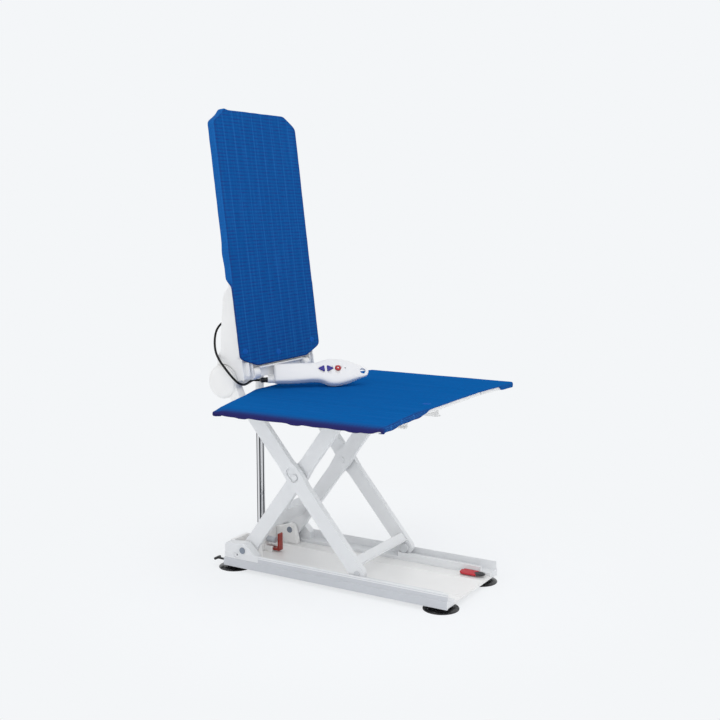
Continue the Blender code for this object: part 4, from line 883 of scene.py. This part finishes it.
class BATHLIFT_OT_hem_stitching(bpy.types.Operator):
    """Rows of stitches along the near front hem, with its bar tacks"""
    bl_idname = "bath_lift.hem_stitching"
    bl_label = "Hem stitching"

    def execute(self, context):
        bm = bmesh.new()
        pitch = settings().cover.thread_pitch
        slope = math.atan2(seat_front(-0.20) - seat_front(-0.34), 0.14)
        start, run = STITCHED
        stitches = [(start + (step + 0.5) * pitch, drop, (pitch * 0.48, 0.0005, 0.00045))
                    for drop in STITCH_ROWS for step in range(int(run / pitch))]
        stitches += [(tack + step * 0.0010, 0.0020 + step * 0.0032, (0.0007, 0.0007, 0.0015))
                     for tack in TACKS for step in range(4)]
        for x, drop, size in stitches:
            made = bmesh.ops.create_icosphere(bm, subdivisions=1, radius=1)["verts"]
            edge = seat_front(x)
            lift = Vector((x, edge - 0.0002 + front_ripple(x, edge), seat_skin(x, edge + SEAT_ROLL) - drop))
            shape = Matrix.Translation(lift) @ Matrix.Rotation(slope, 4, "Z") @ Matrix.Diagonal((*size, 1))
            bmesh.ops.transform(bm, matrix=shape, verts=made)
        thread = piece("hem_stitches", bm, "blue_fabric", surface="pale blue polyester thread")
        bend_at_flap(thread)
        return {"FINISHED"}


# Handset

# Share of the length, low and high edge as shares of HANDSET_HALF, shares of HANDSET_BEHIND and HANDSET_FACE.
HANDSET_STATIONS = [(0.00, -0.81, 0.85, 0.89, 0.57), (0.03, -0.93, 0.96, 0.95, 0.86),
                    (0.20, -0.96, 1.00, 1.00, 1.00), (0.40, -0.87, 0.97, 1.00, 1.00),
                    (0.49, -0.96, 1.12, 1.00, 1.00), (0.57, -1.30, 1.36, 1.00, 1.00),
                    (0.65, -1.39, 1.38, 1.00, 1.00), (0.76, -1.19, 1.22, 0.89, 1.00),
                    (0.86, -0.85, 0.87, 0.56, 0.78), (0.94, -0.58, 0.62, 0.26, 0.47),
                    (0.970, -0.49, 0.53, 0.20, 0.40), (0.988, -0.35, 0.38, 0.18, 0.35),
                    (0.997, -0.18, 0.20, 0.16, 0.31), (1.00, -0.06, 0.07, 0.16, 0.30)]
HANDSET_HALF = 0.027
HANDSET_BEHIND = 0.019
HANDSET_FACE = 0.014
HALF_SEAM = 0.00015
BUTTON_GROWTH = {"button_down": 1.26, "button_up": 1.26, "button_stop": 1.02}
BUTTON_PLAY = 0.0006
WELL_DEEPER = 0.0024
WELL_PROUD = 0.01
FACE_ROW = 0.006
MARK_HALF = 0.0016
MARK_RISE = 0.0002
EYE_CUT = [(0, -0.03), (0.0125, -0.03), (0.0125, -0.010), (0.0078, -0.001), (0.0078, 0.03), (0, 0.03)]
EYE_RING = [(0.0073, 0.0000), (0.0080, -0.0010), (0.0092, -0.0005), (0.0094, 0.0052), (0.0090, 0.0067),
            (0.0082, 0.0071), (0.0075, 0.0062), (0.0073, 0.0000)]
STUB = [(0, -0.004), (0.0088, -0.004), (0.0088, 0.0035), (0.0080, 0.0044), (0.0080, 0.0070),
        (0.0085, 0.0076), (0.0083, 0.0120), (0.0079, 0.0165), (0.0074, 0.0170), (0, 0.0170)]
LENS = [(0, 0.0009), (0.0015, 0.0007), (0.0023, 0.0000), (0.0023, -0.0010), (0, -0.0010)]


def on_handset(share, up=0.0, out=0.0):
    """A place on the handset: a share of its length, up its face and out of it."""
    return HANDSET @ Matrix.Translation((share * HANDSET_LENGTH, up, out))


EYE = on_handset(0.937)
LAMP = on_handset(0.748, FACE_ROW, HANDSET_FACE - 0.0003)
STOP_MARK = on_handset(0.672, FACE_ROW, HANDSET_FACE + 0.00225)


def handset_shell(front):
    """One half of the handset, bridged from ring to ring along smooth edges."""
    edges = smooth_path([Vector(row[:3]) for row in HANDSET_STATIONS], 4)
    depths = smooth_path([Vector((row[0], row[3], row[4])) for row in HANDSET_STATIONS], 4)
    bm = bmesh.new()
    power = 0.42 if front else 0.75
    rings = []
    for (share, low, high), (_, behind, ahead) in zip(edges, depths):
        middle = (low + high) / 2 * HANDSET_HALF
        half = (high - low) / 2 * HANDSET_HALF
        depth = ahead * HANDSET_FACE if front else behind * HANDSET_BEHIND
        ring = []
        for step in range(25):
            turn = math.pi * step / 24
            across = math.copysign(abs(math.cos(turn)) ** power, math.cos(turn))
            out = HALF_SEAM + math.sin(turn) ** power * depth
            ring.append(bm.verts.new((share * HANDSET_LENGTH, middle + half * across, out if front else -out)))
        rings.append([bm.edges.new(pair) for pair in zip(ring, [*ring[1:], ring[0]])])
    for a, b in zip(rings, rings[1:]):
        bmesh.ops.bridge_loops(bm, edges=a + b)
    for ring in (rings[0], rings[-1]):
        bmesh.ops.edgeloop_fill(bm, edges=ring)
    bmesh.ops.recalc_face_normals(bm, faces=bm.faces)
    return placed(bm, HANDSET)


def mesh_middle(bm):
    """Mean place of a mesh's points."""
    return sum((vert.co for vert in bm.verts), Vector()) / len(bm.verts)


def button_well(button):
    """What is cut from the handset's face for a button: the grown button with some play, driven deeper."""
    well = placed(cad_copy(button), HANDSET.inverted())
    middle = mesh_middle(well)
    for vert in well.verts:
        gap = Vector((vert.co.x - middle.x, vert.co.y - middle.y, 0))
        vert.co += gap * (BUTTON_GROWTH[button] - 1) + gap.normalized() * BUTTON_PLAY
        vert.co.z += WELL_PROUD if vert.co.z > middle.z else -WELL_DEEPER
    return placed(well, HANDSET)


def cut(obj, meshes):
    """Cuts meshes out of an object."""
    tools = [new_object("cutter", bm) for bm in meshes]
    for tool in tools:
        hole = obj.modifiers.new("hole", "BOOLEAN")
        hole.object = tool
        hole.solver = "EXACT"
    settled(obj)
    for tool in tools:
        mesh = tool.data
        bpy.data.objects.remove(tool)
        bpy.data.meshes.remove(mesh)


class BATHLIFT_OT_handset(bpy.types.Operator):
    """White handset on the seat with its buttons, lamp, hanging eye and cord stub"""
    bl_idname = "bath_lift.handset"
    bl_label = "Handset"

    def execute(self, context):
        white = "white_moulded_plastic"
        for name, front in (("front", True), ("rear", False)):
            shell = piece(f"handset_{name}_moulding", handset_shell(front), white, "seat")
            wells = [button_well(button) for button in BUTTON_GROWTH if front]
            cut(shell, [turned(EYE_CUT, EYE, 32), *wells])
            shade_smooth(shell.data, 38)
            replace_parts(shell, f"handset_{name}_shell")
        turn = HANDSET.to_3x3()
        for button, growth in BUTTON_GROWTH.items():
            key = cad_copy(button)
            wider = turn @ Matrix.Diagonal((growth, growth, 1)) @ turn.inverted()
            bmesh.ops.transform(key, matrix=wider.to_4x4(), space=Matrix.Translation(-mesh_middle(key)),
                                verts=key.verts)
            tone = "red" if button == "button_stop" else "violet"
            softened(button, 0.0006, f"{tone} silicone, moulded", 3, key)
        piece("handset_eye", turned(EYE_RING, EYE, 40), white, "seat")
        piece("handset_stub", turned(STUB, TAIL, 32), white, "seat")
        piece("handset_lamp", turned(LENS, LAMP, 20), "grey_plastic", "seat", "smoked lens, moulded")
        # A small raised square on the stop button.
        bm = bmesh.new()
        bmesh.ops.create_grid(bm, x_segments=1, y_segments=1, size=MARK_HALF)
        placed(bm, STOP_MARK)
        raised = bmesh.ops.extrude_face_region(bm, geom=bm.faces[:])["geom"]
        bmesh.ops.translate(bm, verts=[part for part in raised if isinstance(part, bmesh.types.BMVert)],
                            vec=turn @ Vector((0, 0, MARK_RISE)))
        bmesh.ops.recalc_face_normals(bm, faces=bm.faces)
        soft_edges(piece("stop_mark", bm, white, "button_stop"), 0.0004)
        return {"FINISHED"}


# Frame

# On the panel: the lip across the backrest's foot, two webs to a side, and a drum beside them.
HINGE_LIP = ((-0.098, 0.0050, -0.0085), (0.098, 0.0175, -0.0035))
WEB_PLACES = (0.1300, 0.1435)
WEB_WIDTH = 0.0038
WEB_LOW = Vector((0, 0.0035, -0.0240))
WEB_HIGH = Vector((WEB_WIDTH, 0.0185, 0.0120))
WEB_EDGE = 0.0011
LIP_EDGE = 0.0012
DRUM_PLACE = (0.1130, 0.0160, -0.0190)
DRUM = [(0, -0.0130), (0.0120, -0.0130), (0.0152, -0.0112), (0.0160, -0.0080), (0.0160, 0.0080),
        (0.0152, 0.0112), (0.0120, 0.0130), (0, 0.0130)]


class BATHLIFT_OT_backrest_housing(bpy.types.Operator):
    """Panel, moulded housing with its hubs, drive unit and cord gland"""
    bl_idname = "bath_lift.backrest_housing"
    bl_label = "Backrest housing"

    def execute(self, context):
        white = "white_moulded_plastic"
        width = settings().frame.moulded_edge
        softened("backrest_panel", 0.0012)
        softened("backrest_shell", width * 1.6, segments=3)
        softened("drive_unit", width * 1.4, segments=3)
        softened("cord_gland", 0.0006)
        for side in SIDES:
            softened(f"rear_bracket_{side}", width, segments=3)
            softened(f"hub_pin_{side}", width, segments=3)
        piece("hinge_lip", placed(slab(*HINGE_LIP, LIP_EDGE), PANEL), white, "backrest")
        for side, sign in SIDES.items():
            for number, x in enumerate(WEB_PLACES):
                start = Vector((min(sign * x, sign * (x + WEB_WIDTH)), 0, 0))
                web = slab(start + WEB_LOW, start + WEB_HIGH, WEB_EDGE)
                piece(f"hinge_web_{side}_{number}", placed(web, PANEL), white, "backrest")
            x, behind, up = DRUM_PLACE
            place = PANEL @ Matrix.Translation((sign * x, behind, up)) @ LYING
            piece(f"hinge_drum_{side}", turned(DRUM, place, 40), white, "backrest")
        return {"FINISHED"}


# An arm's faces: how squarely they face across, how far floors and bosses lie from its edges, and how far
# the bosses are sunk.
SQUARELY = 0.99
FLOOR_LEAST = 0.002
BOSS_LEAST = 0.0004
BOSS_SUNK = 0.0018


def closed_arm(node):
    """A copy of a channel-shaped arm with a flat plate over its open inner side."""
    bm = cad_copy(node)
    low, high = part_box(node)
    side = 1 if low.x > 0 else -1
    inner, outer = (low.x, high.x) if side > 0 else (high.x, low.x)
    floors = [face for face in bm.faces
              if face.normal.x * side < -SQUARELY and abs(face.calc_center_median().x - inner) > FLOOR_LEAST]
    bosses = [face for face in bm.faces
              if face.normal.x * side > SQUARELY and abs(face.calc_center_median().x - outer) > BOSS_LEAST]
    sunk = {vert for face in bosses for vert in face.verts if abs(vert.co.x - outer) > BOSS_LEAST}
    bmesh.ops.translate(bm, verts=list(sunk), vec=(-side * BOSS_SUNK, 0, 0))
    floor = {vert for face in floors for vert in face.verts}
    bmesh.ops.delete(bm, geom=list(floor), context="VERTS")
    bmesh.ops.edgeloop_fill(bm, edges=[edge for edge in bm.edges if edge.is_boundary])
    bmesh.ops.recalc_face_normals(bm, faces=bm.faces)
    flat_faces_joined(bm)
    return bm


class BATHLIFT_OT_scissor(bpy.types.Operator):
    """Crossed arms, their cross members, pins, rollers and sliders, and the seat's boards and rails"""
    bl_idname = "bath_lift.scissor"
    bl_label = "Scissor and boards"

    def execute(self, context):
        width = settings().frame.metal_edge
        for side in SIDES:
            for arm in (f"inner_arm_{side}", f"outer_arm_{side}"):
                softened(arm, width, segments=3, bm=closed_arm(arm))
            softened(f"crossing_pin_{side}", 0.0005, "white steel, powder coated")
            for node, edge in (("base_pivot_pin", 0.0004), ("base_roller", 0.0005), ("seat_slider", 0.0005),
                               ("seat_rail", 0.0008), ("flap_board", 0.0012)):
                softened(f"{node}_{side}", edge)
            coat(f"flap_hinge_rod_{side}")
        softened("inner_cross_member", width)
        softened("outer_cross_plate", width)
        softened("seat_board", 0.0012)
        return {"FINISHED"}


# The rails' outer walls are bare silver up to a white lip, as far back as the pivot cheeks.
RAIL_WALL = 0.1390
RAIL_LIP = 0.0420
LIP_LINE = (0.0450, 0.0462)
SILVER_END = 0.205
WALL_SLACK = 0.0004


def bare_silver(face):
    """Whether a face of a rail is on its bare flange or outer wall."""
    x, y, height = face.center
    below_lip = height < RAIL_LIP or LIP_LINE[0] < height < LIP_LINE[1]
    wall = below_lip and y < SILVER_END and abs(face.normal.x) > 0.9 and abs(x) > RAIL_WALL - WALL_SLACK
    return (wall or abs(x) > RAIL_WALL + WALL_SLACK) and abs(face.normal.y) < 0.5


class BATHLIFT_OT_base(bpy.types.Operator):
    """Ribbed tray, side rails, pivot cheeks, rear wall and tube clevis"""
    bl_idname = "bath_lift.base"
    bl_label = "Base"

    def execute(self, context):
        softened("base_tray", 0.0010)
        softened("rear_wall", settings().frame.moulded_edge)
        softened("foot_clevis", 0.0012)
        cuts = [((0, 0, height), (0, 0, 1)) for height in (RAIL_LIP, *LIP_LINE)]
        cuts.append(((0, SILVER_END, 0), (0, 1, 0)))
        for side in SIDES:
            section = sliced(cad_copy(f"rail_{side}"), cuts)
            rail = softened(f"rail_{side}", 0.0009, "white aluminium rail, powder coated", bm=section)
            rail.data.materials.append(finish("silver aluminium, anodised"))
            for face in rail.data.polygons:
                face.material_index = int(bare_silver(face))
            softened(f"pivot_cheek_{side}", 0.0012)
        return {"FINISHED"}


# A suction cup from its hollow out to the rim and up to its neck: shares of the rim's radius, and heights.
CUP = [(0, 0.0062), (0.45, 0.0050), (0.78, 0.0008), (0.90, 0.0), (0.965, 0.0), (1, 0.0006), (1, 0.0016),
       (0.985, 0.0025), (0.93, 0.0033), (0.86, 0.0044), (0.70, 0.0062), (0.54, 0.0081), (0.43, 0.0095),
       (0.36, 0.0103), (0.335, 0.0112)]


class BATHLIFT_OT_suction_feet(bpy.types.Operator):
    """Black suction cups under the four corners"""
    bl_idname = "bath_lift.suction_feet"
    bl_label = "Suction feet"

    def execute(self, context):
        for node in (f"suction_cup_{end}_{side}" for end in ("front", "rear") for side in SIDES):
            low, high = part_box(node)
            rim = (high.x - low.x) / 2
            top = high.z - low.z
            profile = [(rim * share, height) for share, height in
                       (*CUP, (0.32, top - 0.0006), (0.31, top), (0, top))]
            middle = Matrix.Translation(((low.x + high.x) / 2, (low.y + high.y) / 2, low.z))
            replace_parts(piece(f"{node}_rubber", turned(profile, middle, 72), "black_rubber", "base"), node)
        return {"FINISHED"}


# The front release: its barrel turns on a pin in the tray's ears; its pad is an oval of PAD_STRETCH.
# The strip's corners and the pad's place are measured from the corners of the solid's underside.
STRIP_LOW = Vector((-0.0005, 0.0190, 0.0028))
STRIP_HIGH = Vector((0.0020, -0.0050, 0.0068))
STRIP_EDGE = 0.0006
PAD_SET = Vector((0, 0.0125, 0.0040))
BARREL_R = 0.0035
BARREL_HALF = 0.0069
BARREL_EDGE = 0.0005
PIN_R = 0.0016
EYE_R = 0.0036
NECK_HALF = 0.0066
NECK_REACH = (0.0067, 0.0064)
PAD = [(0, 0.0034), (0.0070, 0.0032), (0.0096, 0.0026), (0.0106, 0.0016), (0.0102, 0.0004), (0, 0)]
PAD_STRETCH = 1.48
RELEASE_SLOPE = 0.14


class BATHLIFT_OT_releases(bpy.types.Operator):
    """Front release strip with its thumb pad and barrel, rear pulls, pull latch and lock bolt"""
    bl_idname = "bath_lift.releases"
    bl_label = "Releases"

    def execute(self, context):
        body = "front_release"
        low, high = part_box(body)
        middle = (low.x + high.x) / 2
        pivot = high.y - EYE_R
        strip = slab(low + STRIP_LOW, Vector((high.x, high.y, low.z)) + STRIP_HIGH, STRIP_EDGE)
        # Between the tray's ears the strip is only as wide as its barrel.
        sliced(strip, [((0, pivot - reach, 0), (0, 1, 0)) for reach in NECK_REACH])
        for vert in strip.verts:
            if vert.co.y > pivot - sum(NECK_REACH) / 2:
                vert.co.x = min(max(vert.co.x, middle - NECK_HALF), middle + NECK_HALF)
        place = Matrix.Translation(Vector((middle, low.y, low.z)) + PAD_SET)
        pad = turned(PAD, place @ Matrix.Diagonal((1, PAD_STRETCH, 1, 1)), 40)
        # Strip and pad rise towards the far rail.
        for part in (strip, pad):
            for vert in part.verts:
                vert.co.z += RELEASE_SLOPE * (vert.co.x - low.x)
        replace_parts(piece("front_release_strip", strip, "red_plastic", body), body)
        piece("front_release_pad", pad, "black_plastic", body)
        reach = (high.x - low.x) / 2
        half = [(0, reach), (PIN_R, reach), (PIN_R, BARREL_HALF), (BARREL_R - BARREL_EDGE, BARREL_HALF),
                (BARREL_R, BARREL_HALF - BARREL_EDGE)]
        barrel = [(radius, -along) for radius, along in half] + half[::-1]
        place = Matrix.Translation((middle, pivot, low.z + EYE_R)) @ LYING
        piece("front_release_barrel", turned(barrel, place, 24), "white_moulded_plastic", body)
        for side in SIDES:
            softened(f"rear_pull_{side}", 0.0004)
        softened("foot_latch", 0.0009, segments=3)
        softened("lock_bolt", 0.0005, "grey ABS, moulded")
        return {"FINISHED"}


SLEEVE_LENGTH = 0.068
SLEEVE_STEP = 0.0006


class BATHLIFT_OT_lift_tube(bpy.types.Operator):
    """Chromed tube with a white sleeve at its top, on its pinned foot"""
    bl_idname = "bath_lift.lift_tube"
    bl_label = "Lift tube"

    def execute(self, context):
        low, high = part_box("lift_tube")
        radius = (high.x - low.x) / 2
        slim = radius - SLEEVE_STEP
        sleeve = high.z - SLEEVE_LENGTH
        profile = [(0, low.z), (radius, low.z), (radius, sleeve - 0.0006), (slim, sleeve - 0.0003),
                   (slim, sleeve), (radius, sleeve + 0.0004), (radius, high.z - 0.0015),
                   (slim, high.z - 0.0004), (radius - 0.0015, high.z), (0, high.z)]
        middle = Matrix.Translation((TUBE_AXIS.x, TUBE_AXIS.y, 0))
        tube = piece("lift_tube_chrome", turned(profile, middle, 64), "chromed_steel", "lift_tube")
        tube.data.materials.append(finish("white ABS, moulded"))
        for face in tube.data.polygons:
            face.material_index = int(face.center.z > sleeve)
        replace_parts(tube, "lift_tube")
        softened("tube_foot", 0.0008)
        return {"FINISHED"}


# Stage

FLOOR_RADIUS = 9
# The lamps' places and sizes; their powers are settings.
LAMPS = {"key": ((-0.7, -1.5, 3.1), 2.2), "fill": ((-2.9, -1.5, 1.2), 2.4)}
LAMP_AIM = Vector((0, 0, 0.5))


def bare_tree(owner):
    """The emptied node tree of a material or world."""
    owner.use_nodes = True
    owner.node_tree.nodes.clear()
    return owner.node_tree


def rays_that_look(tree, *kinds):
    """1 for rays of the given kinds, which see the even backdrop, and 0 for those that gather light."""
    seen, *others = [add_node(tree, "ShaderNodeLightPath", result=f"Is {kind} Ray") for kind in kinds]
    for ray in others:
        seen = add_node(tree, "ShaderNodeMath", {0: seen, 1: ray}, operation="MAXIMUM")
    return seen


class BATHLIFT_OT_stage(bpy.types.Operator):
    """Pale floor, even room light, soft lamps and the camera"""
    bl_idname = "bath_lift.stage"
    bl_label = "Stage"

    def execute(self, context):
        stage = settings().stage
        scene = context.scene
        scene.view_settings.view_transform = "Standard"

        bm = bmesh.new()
        bmesh.ops.create_circle(bm, cap_ends=True, segments=96, radius=FLOOR_RADIUS)
        floor = new_object("floor", bm)
        paper = bpy.data.materials.new("matt studio paper")
        tree = bare_tree(paper)
        # Near the object the paper takes its shadow; further out the camera sees only the even backdrop.
        place = add_node(tree, "ShaderNodeTexCoord", result="Object")
        away = add_node(tree, "ShaderNodeVectorMath", {0: place}, "Value", operation="LENGTH")
        far = add_node(tree, "ShaderNodeMapRange", {"Value": away, "From Min": 0.30, "From Max": 0.85,
                                                    "To Min": 0.72, "To Max": 1.0},
                       interpolation_type="SMOOTHSTEP")
        seen = rays_that_look(tree, "Camera", "Glossy")
        share = add_node(tree, "ShaderNodeMath", {0: seen, 1: far}, operation="MULTIPLY")
        matt = add_node(tree, "ShaderNodeBsdfDiffuse", {"Color": stage.paper, "Roughness": 1.0})
        even = add_node(tree, "ShaderNodeEmission", {"Color": stage.paper, "Strength": 1.0})
        both = add_node(tree, "ShaderNodeMixShader", {0: share, 1: matt, 2: even})
        add_node(tree, "ShaderNodeOutputMaterial", {"Surface": both})
        floor.data.materials.append(paper)

        scene.world = bpy.data.worlds.new("studio")
        tree = bare_tree(scene.world)
        seen = rays_that_look(tree, "Camera", "Glossy", "Transmission")
        even = add_node(tree, "ShaderNodeBackground", {"Color": stage.paper, "Strength": 1.0})
        room = add_node(tree, "ShaderNodeBackground", {"Color": stage.room, "Strength": stage.sky})
        both = add_node(tree, "ShaderNodeMixShader", {0: seen, 1: room, 2: even})
        add_node(tree, "ShaderNodeOutputWorld", {"Surface": both})

        for name, (place, size) in LAMPS.items():
            lamp = bpy.data.lights.new(name, "AREA")
            lamp.shape = "DISK"
            lamp.size = size
            lamp.energy = getattr(stage, name)
            holder = bpy.data.objects.new(name, lamp)
            holder.location = place
            holder.rotation_euler = (LAMP_AIM - Vector(place)).to_track_quat("-Z", "Y").to_euler()
            scene.collection.objects.link(holder)

        view = bpy.data.cameras.new("camera")
        view.lens = stage.lens
        view.sensor_width = 36
        view.clip_start = 0.05
        camera = bpy.data.objects.new("camera", view)
        camera.location = stage.camera
        camera.rotation_euler = Vector(stage.look).to_track_quat("-Z", "Y").to_euler()
        scene.collection.objects.link(camera)
        scene.camera = camera
        return {"FINISHED"}


OPERATORS = (BATHLIFT_OT_stage, BATHLIFT_OT_hand_cord, BATHLIFT_OT_backrest_cover, BATHLIFT_OT_seat_covers,
             BATHLIFT_OT_cover_studs, BATHLIFT_OT_hem_stitching, BATHLIFT_OT_handset,
             BATHLIFT_OT_backrest_housing, BATHLIFT_OT_scissor, BATHLIFT_OT_base, BATHLIFT_OT_suction_feet,
             BATHLIFT_OT_releases, BATHLIFT_OT_lift_tube)


class BATHLIFT_PT_panel(bpy.types.Panel):
    """Lists the bath lift's pieces and settings"""
    bl_idname = "BATHLIFT_PT_panel"
    bl_label = "Bath lift"
    bl_space_type = "VIEW_3D"
    bl_region_type = "UI"
    bl_category = "Bath lift"

    def draw(self, context):
        for operator in OPERATORS:
            self.layout.operator(operator.bl_idname)
        lift = context.scene.bath_lift
        for group in (lift.cover, lift.frame, lift.handset, lift.stage):
            box = self.layout.box()
            for name in group.__annotations__:
                box.prop(group, name)


CLASSES = (CoverSettings, FrameSettings, HandsetSettings, StageSettings, BathLiftSettings, *OPERATORS,
           BATHLIFT_PT_panel)


def register():
    for cls in CLASSES:
        bpy.utils.register_class(cls)
    bpy.types.Scene.bath_lift = PointerProperty(type=BathLiftSettings)


def unregister():
    del bpy.types.Scene.bath_lift
    for cls in reversed(CLASSES):
        bpy.utils.unregister_class(cls)


def main():
    register()
    bpy.ops.bath_lift.stage()
    bpy.ops.bath_lift.hand_cord()
    bpy.ops.bath_lift.backrest_cover()
    bpy.ops.bath_lift.seat_covers()
    bpy.ops.bath_lift.cover_studs()
    bpy.ops.bath_lift.hem_stitching()
    bpy.ops.bath_lift.handset()
    bpy.ops.bath_lift.backrest_housing()
    bpy.ops.bath_lift.scissor()
    bpy.ops.bath_lift.base()
    bpy.ops.bath_lift.suction_feet()
    bpy.ops.bath_lift.releases()
    bpy.ops.bath_lift.lift_tube()
    bpy.context.view_layer.update()


if __name__ == "__main__":
    main()
